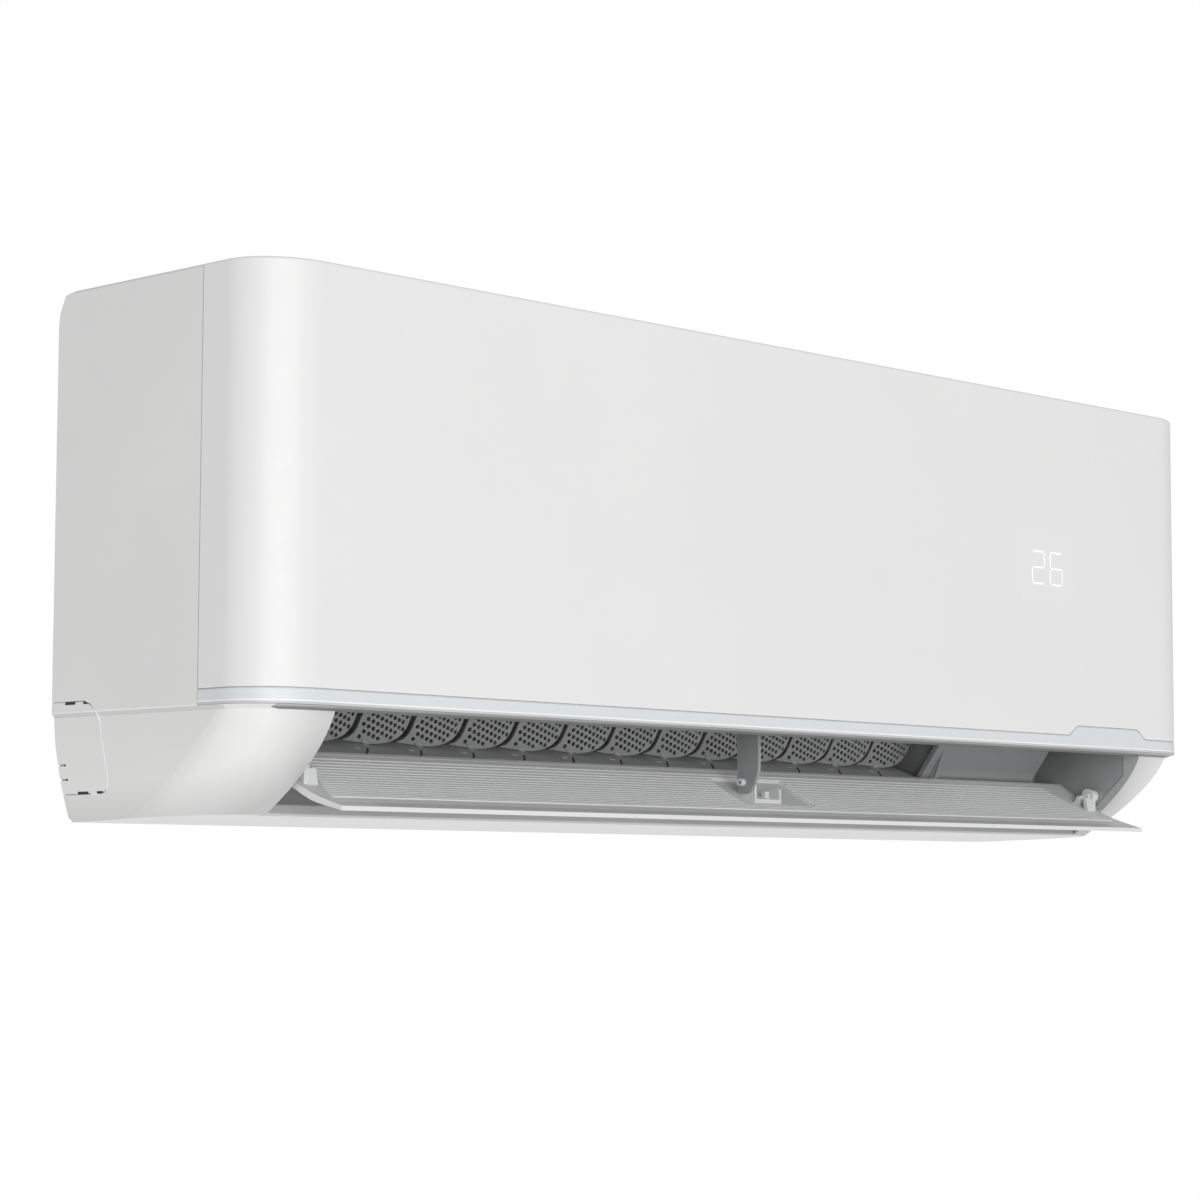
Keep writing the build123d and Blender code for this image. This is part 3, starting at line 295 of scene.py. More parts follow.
# front lip of the underside: painted shade under the flap, darkest on the upper part, paler on the bead below it, and
# painted shadow in the grey line of the gap behind it
bottom_mat = plastic("casing_white_under", (0.785, 0.785, 0.78), 0.42, 0.012, spec=0.8)
masked(bottom_mat, lambda nt, x, y, z: both(nt, less(nt, y, -0.1255), more(nt, z, -0.1622), less(nt, math_node(nt, "ABSOLUTE", x), 0.4075)),
       ((0.60, 0.60, 0.60), (0.63, 0.63, 0.63)))
masked(bottom_mat, lambda nt, x, y, z: both(nt, less(nt, y, -0.1255), more(nt, z, -0.1613), less(nt, math_node(nt, "ABSOLUTE", x), 0.4075)),
       ((0.36, 0.362, 0.365), (0.39, 0.392, 0.395)))
masked(bottom_mat, lambda nt, x, y, z: both(nt, more(nt, y, -0.1275), less(nt, y, -0.119), less(nt, z, -0.1620), less(nt, math_node(nt, "ABSOLUTE", x), 0.4075)),
       ((0.45, 0.452, 0.455), (0.48, 0.482, 0.485)))
# a faint paler field in the panel behind the read-out
masked(M["panel_white"],
       lambda nt, x, y, z: both(nt, more(nt, x, 0.2476), less(nt, x, 0.3174), more(nt, z, 0.0075), less(nt, z, 0.0604), less(nt, y, -0.19)),
       ((0.815, 0.812, 0.81), (0.82, 0.817, 0.815)))

# painted shade: the cheeks beside the outlet are darkened towards the mouth
def paint_shade_down(m, factor_of):
    """paint shade: multiply a material's colour by a smooth factor of position"""
    nt = m.node_tree
    b = next(n for n in nt.nodes if n.type == "BSDF_PRINCIPLED")
    src = b.inputs["Base Color"].links[0].from_socket
    x, y, z = obj_xyz(nt)
    mix = nt.nodes.new("ShaderNodeMix")
    mix.data_type = "RGBA"
    nt.links.new(factor_of(nt, x, y, z), mix.inputs["Factor"])
    nt.links.new(src, mix.inputs[6])
    nt.links.new(ramp_mix(nt, noise(nt, 14.0, 4.0), (0.395, 0.395, 0.393), (0.405, 0.405, 0.403)), mix.inputs[7])
    nt.links.new(mix.outputs[2], b.inputs["Base Color"])


def cheek_painted_shade(nt, x, y, z):
    ax = math_node(nt, "ABSOLUTE", x)
    side = math_node(nt, "MULTIPLY", math_node(nt, "SUBTRACT", 0.456, ax), 1.0 / 0.03)
    low = math_node(nt, "MULTIPLY", math_node(nt, "SUBTRACT", -0.135, z), 1.0 / 0.035)
    low = math_node(nt, "MAXIMUM", low, -0.2)
    s = math_node(nt, "MAXIMUM", math_node(nt, "ADD", side, low), 0.0)
    s = math_node(nt, "MINIMUM", math_node(nt, "MULTIPLY", s, 0.40), 0.75)
    return both(nt, s, more(nt, ax, 0.4074), less(nt, z, -0.1026))


paint_shade_down(frame_mat, cheek_painted_shade)

# fin packs: thin vertical fins drawn as a fine ripple
m, nt, b = new_mat("fin_aluminium")
b.inputs["Metallic"].default_value = 0.9
rib = wave_ribs(nt, "X", 260.0)
nt.links.new(ramp_mix(nt, rib, (0.25, 0.26, 0.27), (0.75, 0.77, 0.79), 0.2, 0.8), b.inputs["Base Color"])
nt.links.new(ranged(nt, noise(nt, 70.0), 0.3, 0.5), b.inputs["Roughness"])
bump(nt, b, rib, 0.0008, 0.8)
M["fin_aluminium"] = m

# woven filter mesh
m, nt, b = new_mat("filter_mesh")
wx = wave_ribs(nt, "X", 160.0)
wz = wave_ribs(nt, "Z", 160.0)
weave = math_node(nt, "MAXIMUM", wx, wz)
nt.links.new(ramp_mix(nt, weave, (0.16, 0.17, 0.18), (0.42, 0.44, 0.46), 0.5, 0.9), b.inputs["Base Color"])
b.inputs["Roughness"].default_value = 0.7
bump(nt, b, weave, 0.0004, 0.8)
M["filter_mesh"] = m

# lit segments
m, nt, b = new_mat("display_white")
nt.links.new(ramp_mix(nt, noise(nt, 300.0), (0.9, 0.95, 1.0), (1, 1, 1)), b.inputs["Base Color"])
b.inputs["Emission Color"].default_value = (0.97, 0.985, 1.0, 1)
b.inputs["Emission Strength"].default_value = 0.12
b.inputs["Roughness"].default_value = 0.3
M["display_white"] = m


slots = {s["node"]: s["material_slot"] for s in frame["record"]["subparts"]}
for n, o in frame["nodes"].items():
    o.data.materials.clear()
    o.data.materials.append(M[slots[n]])

frame["nodes"]["front_frame"].data.materials[0] = frame_mat
frame["nodes"]["bottom_cover"].data.materials[0] = bottom_mat

# ---------------------------------------------------------------- mesh helpers
def piece(name, bm, mat, body, nodes=(), angle=32.0):
    """finish a mesh: consistent normals, smooth shading with sharp edges, rides on its body"""
    bmesh.ops.recalc_face_normals(bm, faces=bm.faces)
    me = bpy.data.meshes.new(name)
    bm.to_mesh(me)
    bm.free()
    me.materials.append(mat)
    me.shade_smooth()
    me.set_sharp_from_angle(angle=math.radians(angle))
    o = bpy.data.objects.new(name, me)
    bpy.context.scene.collection.objects.link(o)
    if nodes:
        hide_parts(*nodes)
    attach(o, body)
    return o


def arc_pts(cx, cy, r, a0, a1, n):
    return [(cx + r * math.cos(math.radians(a0 + (a1 - a0) * i / n)),
             cy + r * math.sin(math.radians(a0 + (a1 - a0) * i / n))) for i in range(n + 1)]


def rounded(pts, radii, n=6):
    """open polyline whose corners are turned to short arcs"""
    out = []
    for i, (p, r) in enumerate(zip(pts, radii)):
        if not r:
            out.append(p)
            continue
        a, b = pts[i - 1], pts[(i + 1) % len(pts)]
        ua = Vector((a[0] - p[0], a[1] - p[1])).normalized()
        ub = Vector((b[0] - p[0], b[1] - p[1])).normalized()
        ang = ua.angle(ub)
        d = r / math.tan(ang / 2)
        h = r / math.sin(ang / 2)
        m = (ua + ub).normalized()
        c = Vector(p) + m * h
        s, e = Vector(p) + ua * d, Vector(p) + ub * d
        t0 = math.atan2(s.y - c.y, s.x - c.x)
        t1 = math.atan2(e.y - c.y, e.x - c.x)
        dt = (t1 - t0 + math.pi) % (2 * math.pi) - math.pi
        for k in range(n + 1):
            q = t0 + dt * k / n
            out.append((c.x + r * math.cos(q), c.y + r * math.sin(q)))
    return out


def lookup(line, x):
    for a, b in zip(line, line[1:]):
        if a[0] <= x <= b[0]:
            if b[0] - a[0] < 1e-9:
                return b[1]
            return a[1] + (b[1] - a[1]) * (x - a[0]) / (b[0] - a[0])
    return line[0][1] if x < line[0][0] else line[-1][1]


def front_path(d, stations, yb, n=26, hw=470.0, dep=200.0, rx=44.0, ry=35.0):
    """plan outline of the wrap-round front at depth d inside the skin, left rear to right rear"""
    hw, yf, rx, ry = hw - d, -dep + d, rx - d, ry - d
    k = 0.5523
    pts = []
    for t in (0.0, 0.12, 0.5, 0.88):
        pts.append((-hw, yb + (yf + ry - yb) * t))
    a, b, c, e = (-hw, yf + ry), (-hw, yf + ry - k * ry), (-hw + rx - k * rx, yf), (-hw + rx, yf)
    for i in range(n + 1):
        t = i / n
        w0, w1, w2, w3 = (1 - t) ** 3, 3 * t * (1 - t) ** 2, 3 * t * t * (1 - t), t ** 3
        pts.append((a[0] * w0 + b[0] * w1 + c[0] * w2 + e[0] * w3, a[1] * w0 + b[1] * w1 + c[1] * w2 + e[1] * w3))
    left = list(pts)
    mid = [(x, yf) for x in stations]
    right = [(-p[0], p[1]) for p in reversed(left)]
    return left + mid + right


def box_into(bm, x0, x1, y0, y1, z0, z1, bev=0.4):
    """small moulded block with bevelled edges"""
    vs = [bm.verts.new(P(x, y, z)) for x in (x0, x1) for y in (y0, y1) for z in (z0, z1)]
    fs = [bm.faces.new([vs[i] for i in q]) for q in ((0, 1, 3, 2), (4, 6, 7, 5), (0, 4, 5, 1), (2, 3, 7, 6), (0, 2, 6, 4), (1, 5, 7, 3))]
    bmesh.ops.recalc_face_normals(bm, faces=fs)
    if bev:
        es = list({e for f in fs for e in f.edges})
        bmesh.ops.bevel(bm, geom=es, offset=bev * MM, segments=2, profile=0.5, affect="EDGES", clamp_overlap=True)


def lathe_into(bm, origin, axis, side, prof, n=24):
    """closed turned shape: prof is (distance along the axis, radius), millimetres"""
    ax = Vector(axis).normalized()
    s = Vector(side).normalized()
    t = ax.cross(s)
    rings = []
    for h, r in prof:
        c = origin + ax * (h * MM)
        if r <= 0:
            rings.append([bm.verts.new(c)])
        else:
            rings.append([bm.verts.new(c + (s * math.cos(2 * math.pi * i / n) + t * math.sin(2 * math.pi * i / n)) * (r * MM))
                          for i in range(n)])
    for a, b in zip(rings, rings[1:]):
        if len(a) == 1 and len(b) == 1:
            continue
        for i in range(n):
            j = (i + 1) % n
            if len(a) == 1:
                bm.faces.new([a[0], b[i], b[j]])
            elif len(b) == 1:
                bm.faces.new([a[i], a[j], b[0]])
            else:
                bm.faces.new([a[i], a[j], b[j], b[i]])


def prism_into(bm, pts, x0, x1, bev=0.0):
    """closed outline in (y, z) drawn out along X"""
    a = [bm.verts.new(P(x0, p[0], p[1])) for p in pts]
    b = [bm.verts.new(P(x1, p[0], p[1])) for p in pts]
    fs = [bm.faces.new(a), bm.faces.new(b[::-1])]
    for i in range(len(pts)):
        j = (i + 1) % len(pts)
        fs.append(bm.faces.new([a[j], a[i], b[i], b[j]]))
    bmesh.ops.recalc_face_normals(bm, faces=fs)
    if bev:
        es = list({e for f in fs for e in f.edges if e.calc_face_angle(0) > 0.6})
        bmesh.ops.bevel(bm, geom=es, offset=bev * MM, segments=2, profile=0.5, affect="EDGES", clamp_overlap=True)


# ---------------------------------------------------------------- front panel
NOTCH = rounded([(298, 5), (298, 9.9), (306.4, 9.9), (316.2, 17.2), (394.0, 17.2), (403.6, 9.9), (412, 9.9), (412, 5)],
                [0, 0, 8.0, 7.0, 7.0, 8.0, 0, 0])[1:-1]
TAB = rounded([(298, 5), (298, 9.2), (306.7, 9.2), (316.6, 16.5), (393.6, 16.5), (403.3, 9.2), (412, 9.2), (412, 5)],
              [0, 0, 8.0, 7.0, 7.0, 8.0, 0, 0])[1:-1]
Z_TOP = 261.2
stations = sorted(set([-424.0, -419.0, -330.0, -220.0, -110.0, 0.0, 110.0, 220.0, 290.0, 416.0, 419.0, 424.0]
                      + [round(p[0], 3) for p in NOTCH] + [round(p[0], 3) for p in TAB]))


def swept(bm, profile, yb, stations):
    """rings of points along the front path; profile gives (depth, z as a function of x)"""
    rings = []
    for d, zf in profile:
        rings.append([bm.verts.new(P(x, y, zf(x))) for x, y in front_path(d, stations, yb)])
    for a, b in zip(rings, rings[1:]):
        for i in range(len(a) - 1):
            bm.faces.new([a[i], a[i + 1], b[i + 1], b[i]])
    return rings


def const(z):
    return lambda x: z


def above_notch(dz):
    return lambda x: lookup(NOTCH, x) + dz


SK = 0.05        # the skin lies this far inside the casing's front, so that the lit figures stand on it
prof = [(2.6, const(Z_TOP)), (1.9 + SK, const(Z_TOP))]
prof += [(SK + 1.6 - 1.6 * math.sin(math.radians(a)), const(Z_TOP - 1.6 + 1.6 * math.cos(math.radians(a)))) for a in range(0, 91, 15)]
prof += [(SK, const(Z_TOP - 2.4)), (SK, const(Z_TOP - 30)), (SK, const(120.0)), (SK, const(40.0)), (SK, above_notch(1.6)),
         (SK, above_notch(0.7))]
prof += [(SK + 0.5 - 0.5 * math.cos(math.radians(a)), above_notch(0.5 - 0.5 * math.sin(math.radians(a)))) for a in (30, 60, 90)]
prof += [(2.6, above_notch(0.0)), (3.0, above_notch(0.4)), (3.0, const(30.0)), (3.0, const(200.0)), (3.0, const(Z_TOP - 3.0)),
         (3.4, const(Z_TOP - 2.5))]
bm = bmesh.new()
rings = swept(bm, prof, -142.5, stations)
rear = [(-451.6, -142.5), (-451.6, -166.5), (-444.6, -166.5), (-444.6, -142.5),
        (444.6, -142.5), (444.6, -166.5), (451.6, -166.5), (451.6, -142.5)]
rt = [bm.verts.new(P(x, y, Z_TOP)) for x, y in rear]
ru = [bm.verts.new(P(x, y, Z_TOP - 2.5)) for x, y in rear]
bm.faces.new(rings[0] + rt[::-1])
bm.faces.new(rings[-1] + ru[::-1])
for i in range(7):
    bm.faces.new([rt[i], rt[i + 1], ru[i + 1], ru[i]])
bm.faces.new([r[0] for r in rings] + [ru[0], rt[0]])
bm.faces.new([r[-1] for r in rings] + [ru[-1], rt[-1]])
for x0, x1 in ((-444, -438), (438, 444)):
    box_into(bm, x0, x1, -170, -152, 247, 258.9, 0.5)
for sx in (-1, 1):
    lathe_into(bm, P(sx * 443.5, -160, 256), (sx, 0, 0), (0, 1, 0), [(0, 0), (0, 2.0), (6.7, 2.0), (7.1, 1.6), (7.1, 0)], 20)
for x in (-300, 220):
    box_into(bm, x - 6, x + 6, -197.2, -193.6, 22, 30, 0.8)
    box_into(bm, x - 5, x + 5, -194.0, -191.6, 27.5, 30, 0.5)
front_panel = piece("front_panel_skin", bm, M["panel_white"], "panel", ["front_panel"])

# ---------------------------------------------------------------- trim strip
def below_tab(dz):
    return lambda x: lookup(TAB, x) + dz


prof = [(2.6, const(0.55)), (2.2, const(0.15))]
prof += [(0.55 - 0.5 * math.sin(math.radians(a)), const(0.65 - 0.5 * math.cos(math.radians(a)))) for a in (0, 22, 45, 68, 90)]
prof += [(0.05, const(1.3)), (0.05, const(5.0)), (0.05, below_tab(-1.2)), (0.05, below_tab(-0.5))]
prof += [(0.5 - 0.45 * math.cos(math.radians(a)), below_tab(-0.45 + 0.45 * math.sin(math.radians(a)))) for a in (22, 45, 68, 90)]
prof += [(1.25, below_tab(0.0)), (1.25, below_tab(0.55)), (2.2, below_tab(0.55)), (2.6, below_tab(0.15)), (2.6, const(5.0)), (2.6, const(0.55))]
bm = bmesh.new()
rings = swept(bm, prof[:-1], -142.1, stations)
for i in range(len(rings[0]) - 1):
    bm.faces.new([rings[-1][i], rings[-1][i + 1], rings[0][i + 1], rings[0][i]])
bm.faces.new([r[0] for r in rings])
bm.faces.new([r[-1] for r in rings])
trim = piece("trim_band", bm, M["trim_light"], "housing", ["trim_strip"])

# ---------------------------------------------------------------- lit figures, mitred bars
SEG = {"2": "abged", "6": "acdefg"}


def bar(bm, a, b, t, y0, y1):
    """six-sided bar with pointed ends from a to b in (x, z)"""
    d = Vector((b[0] - a[0], b[1] - a[1]))
    ln = d.length
    d.normalize()
    s = Vector((-d.y, d.x))
    h = t / 2
    o = [Vector(a), Vector(a) + d * h + s * h, Vector(b) - d * h + s * h, Vector(b), Vector(b) - d * h - s * h, Vector(a) + d * h - s * h]
    f = [bm.verts.new(P(p.x, y0, p.y)) for p in o]
    g = [bm.verts.new(P(p.x, y1, p.y)) for p in o]
    bm.faces.new(f)
    bm.faces.new(g[::-1])
    for i in range(6):
        j = (i + 1) % 6
        bm.faces.new([f[j], f[i], g[i], g[j]])


bm = bmesh.new()
for ch, x0 in (("2", 261.5), ("6", 283.5)):
    w_, h_, t_, z0 = 16.0, 25.0, 1.25, 119.8
    xl, xr, zb, zm, zt = x0 + t_ / 2, x0 + w_ - t_ / 2, z0 + t_ / 2, z0 + h_ / 2, z0 + h_ - t_ / 2
    g_ = 0.6
    seg = {"a": ((xl + g_, zt), (xr - g_, zt)), "g": ((xl + g_, zm), (xr - g_, zm)), "d": ((xl + g_, zb), (xr - g_, zb)),
           "f": ((xl, zm + g_), (xl, zt - g_)), "b": ((xr, zm + g_), (xr, zt - g_)),
           "e": ((xl, zb + g_), (xl, zm - g_)), "c": ((xr, zb + g_), (xr, zm - g_))}
    for s_ in SEG[ch]:
        bar(bm, *seg[s_], t_, -199.985, -199.5)
piece("read_out_figures", bm, M["display_white"], "panel", ["display_digits"], 20)

# ---------------------------------------------------------------- perforated vanes
from mathutils.geometry import delaunay_2d_cdt

VB, VF, VH = 17.0, 29.0, 40.0
VR = (23.0 ** 2) / 6 + 1.5
VSAG = VR - math.sqrt(VR * VR - 23.0 * 23.0)
ct, st = math.cos(math.radians(20)), math.sin(math.radians(20))
ca, sa = math.cos(math.radians(10)), math.sin(math.radians(10))


def vane_pt(x, y, z, px):
    """leaf coordinates (along, across, up its own axis) to the row frame, in the photographed pose"""
    lx, ly = px + x * ca + y * sa, -x * sa + y * ca
    return P(lx, -87.0 + ly * ct - z * st, -14.445 + ly * st + z * ct)


def vane_bow(x):
    return (VR - VSAG / 2) - math.sqrt(VR * VR - (x - 6) ** 2)


LEAF = [(-17.0, 1.0), (-16.6, 1.6), (-14.6, 2.4), (-12.5, 4.0), (-10.4, 7.0), (-9.2, 10.7), (-8.6, 14.4), (-8.0, 18.0),
        (-7.3, 21.0), (-6.6, 24.0), (-5.8, 28.0), (-5.0, 32.0), (-4.2, 36.0), (-3.4, 40.0), (26.6, 40.0),
        (29.6, 37.0), (29.6, 30.0), (29.6, 24.0), (29.4, 20.2), (28.8, 16.6), (27.6, 12.8), (25.4, 9.2),
        (22.4, 6.4), (18.6, 4.4), (14.0, 2.8), (9.0, 1.6), (3.0, 1.0)]


def inside_leaf(c, margin):
    """signed test: the point lies within the outline, at least margin from every edge"""
    odd = False
    near = 1e9
    for (ax, az), (bx, bz) in zip(LEAF, LEAF[1:] + LEAF[:1]):
        if (az > c[1]) != (bz > c[1]) and c[0] < ax + (c[1] - az) * (bx - ax) / (bz - az):
            odd = not odd
        d = Vector((bx - ax, bz - az))
        t = max(0.0, min(1.0, ((c[0] - ax) * d.x + (c[1] - az) * d.y) / d.length_squared))
        near = min(near, math.hypot(c[0] - ax - t * d.x, c[1] - az - t * d.y))
    return odd and near >= margin


def leaf_plate():
    """flat pattern of the leaf: outline and a slanting field of round perforations"""
    out = []
    for (ax, az), (bx, bz) in zip(LEAF, LEAF[1:] + LEAF[:1]):
        n = max(1, int(math.hypot(bx - ax, bz - az) / 2.6))
        out += [(ax + (bx - ax) * i / n, az + (bz - az) * i / n) for i in range(n)]
    pts = [Vector(p) for p in out]
    edges = [(i, (i + 1) % len(out)) for i in range(len(out))]
    holes = []
    r = 1.48
    for i in range(-14, 15):
        for j in range(-11, 12):
            c = Vector((8.0 + 3.66 * i - 2.36 * j, 13.3 - 1.18 * i - 3.62 * j))
            if not inside_leaf(c, r + 0.35):
                continue
            if abs(c.x + 1.6) < 3.2 and c.y < 4.4:
                continue
            if abs(c.x - 12) < 4.0 and c.y > VH - 6.5:
                continue
            n0 = len(pts)
            for k in range(10):
                a = 2 * math.pi * k / 10
                pts.append(c + Vector((r * math.cos(a), r * math.sin(a))))
            edges += [(n0 + k, n0 + (k + 1) % 10) for k in range(10)]
            holes.append((c, r))
    v, e, f, _, _, _ = delaunay_2d_cdt(pts, edges, [], 1, 1e-5)
    tris = []
    for t in f:
        g = sum((v[i] for i in t), Vector((0, 0))) / len(t)
        if any((g - c).length < r_ * 0.97 for c, r_ in holes):
            continue
        tris.append(list(t))
    return v, tris


plate_v, plate_f = leaf_plate()


def leaf_mesh(px):
    bm = bmesh.new()
    th = 0.8
    fr, bk = [], []
    for q in plate_v:
        b0 = vane_bow(q.x)
        fr.append(bm.verts.new(vane_pt(q.x, b0 - th, q.y, px)))
        bk.append(bm.verts.new(vane_pt(q.x, b0 + th, q.y, px)))
    count = {}
    for t in plate_f:
        bm.faces.new([fr[i] for i in t])
        bm.faces.new([bk[i] for i in reversed(t)])
        for i in range(len(t)):
            k = (t[i], t[(i + 1) % len(t)])
            count[k] = 1
    for a, b in count:
        if (b, a) not in count:
            bm.faces.new([fr[b], fr[a], bk[a], bk[b]])
    bmesh.ops.delete(bm, geom=[q for q in bm.verts if not q.link_faces], context="VERTS")
    o = vane_pt(0, 0, 0, px)
    ax = vane_pt(0, 0, 1, px) - o
    sd = vane_pt(1, 0, 0, px) - o
    lathe_into(bm, o, ax, sd, [(-4.3, 0), (-4.3, 2.1), (-3.9, 2.5), (0.5, 2.5), (0.5, 3.0), (0.7, 3.2), (1.3, 3.2), (1.5, 3.0), (1.5, 1.5),
                               (4.6, 1.4), (4.9, 1.1), (4.9, 0)], 20)
    lathe_into(bm, vane_pt(12.0, -0.5, 0, px), ax, sd, [(35, 0), (35, 1.9), (35.3, 2.2), (39.7, 2.2), (40, 1.9), (40, 0)], 16)
    lathe_into(bm, vane_pt(12.0, 0, 0, px), ax, sd, [(39.6, 0), (39.6, 1.4), (43.6, 1.4), (43.9, 1.1), (43.9, 0)], 16)
    return bm


for i in range(13):
    px = -336.7 + 46.0 * i
    piece("vane_leaf_%02d" % (i + 1), leaf_mesh(px), M["vane_grey"], "leaf_%02d" % (i + 1), ["vane_%02d" % (i + 1)], 40)

    # light clip that holds the leaf's foot to its pivot
    bm = bmesh.new()
    cs = [vane_pt(x, y, z, px) for x in (-4.2, 0.6) for y in (-2.7, -0.5) for z in (1.3, 3.2)]
    vs = [bm.verts.new(q) for q in cs]
    fs = [bm.faces.new([vs[i] for i in q]) for q in ((0, 1, 3, 2), (4, 6, 7, 5), (0, 4, 5, 1), (2, 3, 7, 6), (0, 2, 6, 4), (1, 5, 7, 3))]
    bmesh.ops.recalc_face_normals(bm, faces=fs)
    bmesh.ops.bevel(bm, geom=list({e for f in fs for e in f.edges}), offset=0.35 * MM, segments=2, profile=0.5, affect="EDGES", clamp_overlap=True)
    piece("vane_clip_%02d" % (i + 1), bm, clip_mat, "leaf_%02d" % (i + 1), (), 40)

# marks on the outlet floor in front of every pivot: a light lug, and a curved slot drawn as a dark strip of painted
# shade
def floor_pt(x, y, up):
    """a point over the sloping floor of the outlet"""
    z = -8.26 + (y + 70.0) * (25.0 - 8.26) / 46.0
    return P(x, y - 0.342 * up, z + 0.94 * up)


bm = bmesh.new()
for i in range(13):
    px = -336.7 + 46.0 * i
    lo_, hi_ = [], []
    for x, y in ((-17.0, -95.6), (-16.4, -96.9), (-12.6, -97.0), (-11.8, -95.9), (-12.4, -95.1), (-16.2, -95.0)):
        lo_.append(bm.verts.new(floor_pt(px + x, y, -0.1)))
        hi_.append(bm.verts.new(floor_pt(px + x, y, 0.55)))
    bm.faces.new(lo_)
    bm.faces.new(hi_[::-1])
    for k in range(6):
        j = (k + 1) % 6
        bm.faces.new([lo_[j], lo_[k], hi_[k], hi_[j]])
piece("pivot_lugs", bm, clip_mat, "housing", (), 40)
bm = bmesh.new()
for i in range(13):
    px = -336.7 + 46.0 * i
    line = [(-4.7, -95.2), (-7.4, -97.6), (-10.4, -101.0), (-13.2, -104.2), (-16.6, -107.2), (-20.2, -109.7)]
    rows = []
    for k, (x, y) in enumerate(line):
        w = 0.55 if 0 < k < 5 else 0.25
        rows.append([bm.verts.new(floor_pt(px + x - w, y + w, h)) for h in (-0.1, 0.08)]
                    + [bm.verts.new(floor_pt(px + x + w, y - w, h)) for h in (0.08, -0.1)])
    for p0, p1 in zip(rows, rows[1:]):
        for k in range(4):
            j = (k + 1) % 4
            bm.faces.new([p0[k], p0[j], p1[j], p1[k]])
    bm.faces.new(rows[0][::-1])
    bm.faces.new(rows[-1])
piece("pivot_slots", bm, slot_painted_shade, "housing", (), 40)

# ---------------------------------------------------------------- break-out covers in the side walls
SIDE_X = [(6.0, 470.0), (0.0, 470.0), (-1.0, 469.17), (-2.4, 468.0), (-3.0, 467.96), (-5.0, 467.84), (-10.0, 467.58), (-15.0, 467.2),
          (-20.0, 466.58), (-25.0, 465.74), (-30.0, 464.79), (-36.0, 463.56), (-40.0, 462.69), (-44.0, 461.75), (-47.0, 460.94),
          (-50.0, 460.1), (-55.0, 458.55)]


def side_x(z):
    """outer face of the side wall at height z"""
    if z >= 6.0:
        return 470.0
    for (z0, x0), (z1, x1) in zip(SIDE_X, SIDE_X[1:]):
        if z1 <= z <= z0:
            return x0 + (x1 - x0) * (z - z0) / (z1 - z0)
    return SIDE_X[-1][1]


def wall_patch(bm, sx, quad, sink, thick):
    """thin block following the side wall: quad is four (y, z) corners, sink how far under the face"""
    fr = [bm.verts.new(P(sx * (side_x(z) - sink), y, z)) for y, z in quad]
    bk = [bm.verts.new(P(sx * (side_x(z) - sink - thick), y, z)) for y, z in quad]
    bm.faces.new(fr)
    bm.faces.new(bk[::-1])
    for i in range(4):
        j = (i + 1) % 4
        bm.faces.new([fr[j], fr[i], bk[i], bk[j]])


def rect(y0, y1, z0, z1):
    return [(y0, z0), (y1, z0), (y1, z1), (y0, z1)]


# painted shadow: dark bottoms of the break-off slots and of the ends of the finger clip's slits
bm = bmesh.new()
for sx in (-1, 1):
    for y0, y1, z0, z1 in ((-24.1, -13.5, 4.95, 6.95), (-38.7, -31.7, 4.95, 6.6), (-26.3, -15.1, -49.5, -47.65), (-41.0, -34.3, -49.2, -47.65),
                           (-8.0, -5.6, -32.0, -30.85), (-8.0, -5.6, -40.8, -39.65)):
        wall_patch(bm, sx, rect(y0, y1, z0, z1), 0.25, 1.6)
piece("cover_slot_bottoms", bm, painted_shadow_back, "housing", (), 40)
# painted shade: grey bottoms of the slits, and of the joint round the rear of the cover
bm = bmesh.new()
for sx in (-1, 1):
    for y0, y1, z0, z1 in ((-5.5, -1.2, -32.0, -30.85), (-5.5, -1.2, -40.8, -39.65), (-13.3, -1.2, 6.55, 6.95), (-14.9, -1.2, -49.5, -49.15)):
        wall_patch(bm, sx, rect(y0, y1, z0, z1), 0.3, 1.4)
piece("cover_slit_bottoms", bm, slit_shade_grey, "housing", (), 40)
# painted highlight: a pale bead along the cover's front edge
EDGE = [(-41.9, 2.4), (-44.4, -0.2), (-45.95, -6.5), (-46.6, -13.2), (-47.15, -20.0), (-47.7, -26.0), (-48.05, -32.0), (-48.0, -38.4), (-46.4, -44.3),
        (-44.6, -46.2)]
bm = bmesh.new()
for sx in (-1, 1):
    rows = []
    for k, (y, z) in enumerate(EDGE):
        a, b = EDGE[max(0, k - 1)], EDGE[min(len(EDGE) - 1, k + 1)]
        d = Vector((b[0] - a[0], b[1] - a[1])).normalized()
        nrm = Vector((-d.y, d.x)) * (0.62 if 0 < k < len(EDGE) - 1 else 0.3)
        ring = []
        for t, up in ((-1.0, -0.9), (-1.0, -0.02), (-0.55, 0.1), (0.0, 0.15), (0.55, 0.1), (1.0, -0.02), (1.0, -0.9)):
            yy, zz = y + nrm.x * t, z + nrm.y * t
            lift = min(up, 470.0 - side_x(zz) - 0.02)
            ring.append(bm.verts.new(P(sx * (side_x(zz) + lift), yy, zz)))
        rows.append(ring)
    for r0, r1 in zip(rows, rows[1:]):
        for k in range(7):
            j = (k + 1) % 7
            bm.faces.new([r0[k], r0[j], r1[j], r1[k]])
    bm.faces.new(rows[0][::-1])
    bm.faces.new(rows[-1])
piece("cover_edge_bead", bm, highlight_bead_mat, "housing", (), 50)

# dark bottom of the bore in the head of the middle pin
# painted shade: a dark disc stands in for shade at the bottom of the bore
bm = bmesh.new()
pin_y, pin_z = -150.5, -32.5
lathe_into(bm, P(-5.2, pin_y, pin_z), (1, 0, 0), (0, 1, 0), [(0, 0), (0, 1.02), (2.6, 1.02), (2.6, 0)], 16)
piece("pin_bore_bottom", bm, slot_painted_shade, "air_flap", (), 40)

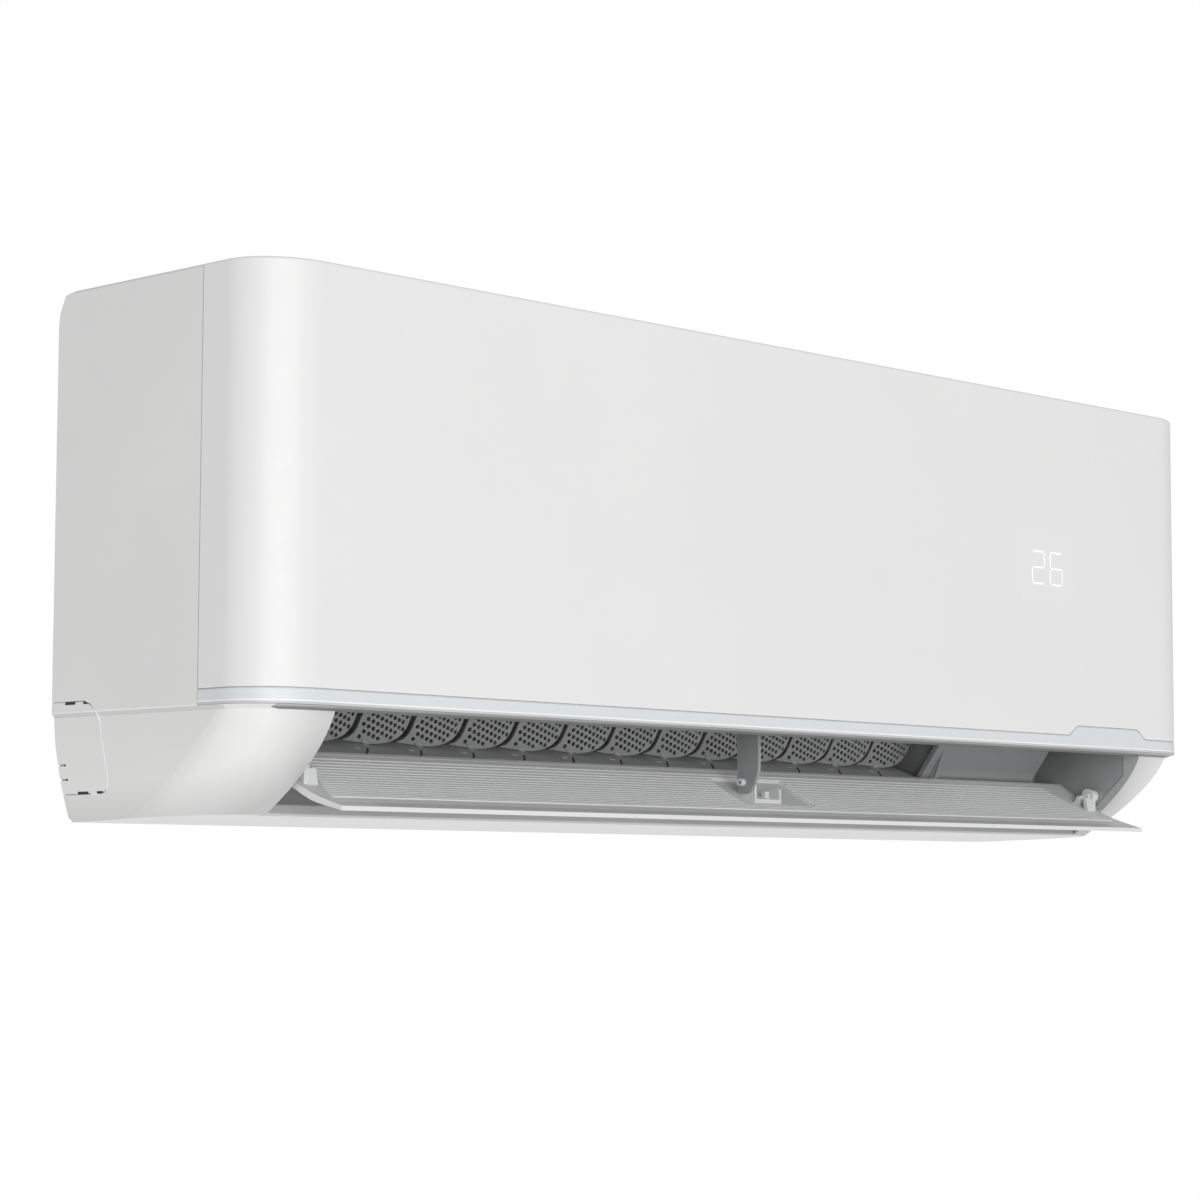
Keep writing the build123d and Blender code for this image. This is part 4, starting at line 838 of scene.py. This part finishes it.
# ---------------------------------------------------------------- camera
def rot_cam(yaw, pitch, roll):
    f = Vector((math.sin(yaw) * math.cos(pitch), math.cos(yaw) * math.cos(pitch), math.sin(pitch)))
    r = Vector((math.cos(yaw), -math.sin(yaw), 0.0))
    u = r.cross(f)
    return r * math.cos(roll) + u * math.sin(roll), -r * math.sin(roll) + u * math.cos(roll), f


cam_data = bpy.data.cameras.new("camera")
cam = bpy.data.objects.new("camera", cam_data)
bpy.context.scene.collection.objects.link(cam)
cr, cu, cf = rot_cam(math.radians(45.663), math.radians(5.181), math.radians(0.208))
cam.matrix_world = Matrix(((cr.x, cu.x, -cf.x, 0), (cr.y, cu.y, -cf.y, 0), (cr.z, cu.z, -cf.z, 0), (0, 0, 0, 1)))
cam.location = P(-1639.33, -1612.63, -106.47)
cam_data.sensor_width = 36.0
cam_data.lens = 3202.48 / 1200.0 * 36.0
cam_data.clip_start = 0.05
cam_data.clip_end = 400.0
bpy.context.scene.camera = cam

# ---------------------------------------------------------------- studio
sc = bpy.context.scene
sc.view_settings.view_transform = "Standard"
sc.view_settings.look = "None"
w = bpy.data.worlds.new("studio")
sc.world = w
w.use_nodes = True
wn = w.node_tree
wn.nodes.clear()
wo = wn.nodes.new("ShaderNodeOutputWorld")
bg = wn.nodes.new("ShaderNodeBackground")
bg.inputs["Color"].default_value = (1, 1, 1, 1)
bg.inputs["Strength"].default_value = 0.50
bg2 = wn.nodes.new("ShaderNodeBackground")
bg2.inputs["Color"].default_value = (1, 1, 1, 1)
bg2.inputs["Strength"].default_value = 1.0
lp = wn.nodes.new("ShaderNodeLightPath")
mixw = wn.nodes.new("ShaderNodeMixShader")
wn.links.new(lp.outputs["Is Camera Ray"], mixw.inputs[0])
wn.links.new(bg.outputs[0], mixw.inputs[1])
wn.links.new(bg2.outputs[0], mixw.inputs[2])
wn.links.new(mixw.outputs[0], wo.inputs[0])


def floor_piece():
    n = 96
    rad = 160.0
    bm = bmesh.new()
    ring = [bm.verts.new((rad * math.cos(2 * math.pi * i / n), rad * math.sin(2 * math.pi * i / n), -2.3)) for i in range(n)]
    bm.faces.new(ring)
    me = bpy.data.meshes.new("floor")
    bm.to_mesh(me)
    bm.free()
    o = bpy.data.objects.new("floor", me)
    sc.collection.objects.link(o)
    m, nt, b = new_mat("floor_pale")
    nt.links.new(ramp_mix(nt, noise(nt, 0.4), (0.88, 0.88, 0.88), (0.9, 0.9, 0.9)), b.inputs["Base Color"])
    b.inputs["Roughness"].default_value = 0.8
    b.inputs["Emission Color"].default_value = (1, 1, 1, 1)
    b.inputs["Emission Strength"].default_value = 0.32
    out = next(q for q in nt.nodes if q.type == "OUTPUT_MATERIAL")
    em = nt.nodes.new("ShaderNodeEmission")
    em.inputs["Strength"].default_value = 1.0
    lpf = nt.nodes.new("ShaderNodeLightPath")
    mx = nt.nodes.new("ShaderNodeMixShader")
    nt.links.new(lpf.outputs["Is Camera Ray"], mx.inputs[0])
    nt.links.new(b.outputs[0], mx.inputs[1])
    nt.links.new(em.outputs[0], mx.inputs[2])
    nt.links.new(mx.outputs[0], out.inputs[0])
    me.materials.append(m)
    return o


floor_piece()


def area(name, loc, target, sx, sy, radiance):
    d = bpy.data.lights.new(name, "AREA")
    d.shape = "RECTANGLE"
    d.size = sx
    d.size_y = sy
    d.energy = 4.0 * radiance * sx * sy
    o = bpy.data.objects.new(name, d)
    sc.collection.objects.link(o)
    o.location = loc
    o.rotation_mode = "QUATERNION"
    o.rotation_quaternion = (Vector(target) - Vector(loc)).to_track_quat("-Z", "Y")
    o.visible_camera = False
    return o


KD = Vector((-0.41, -0.91, 0.10)).normalized()
area("key", KD * 6.0, (0, -0.1, 0), 5.2, 3.2, 2.1)
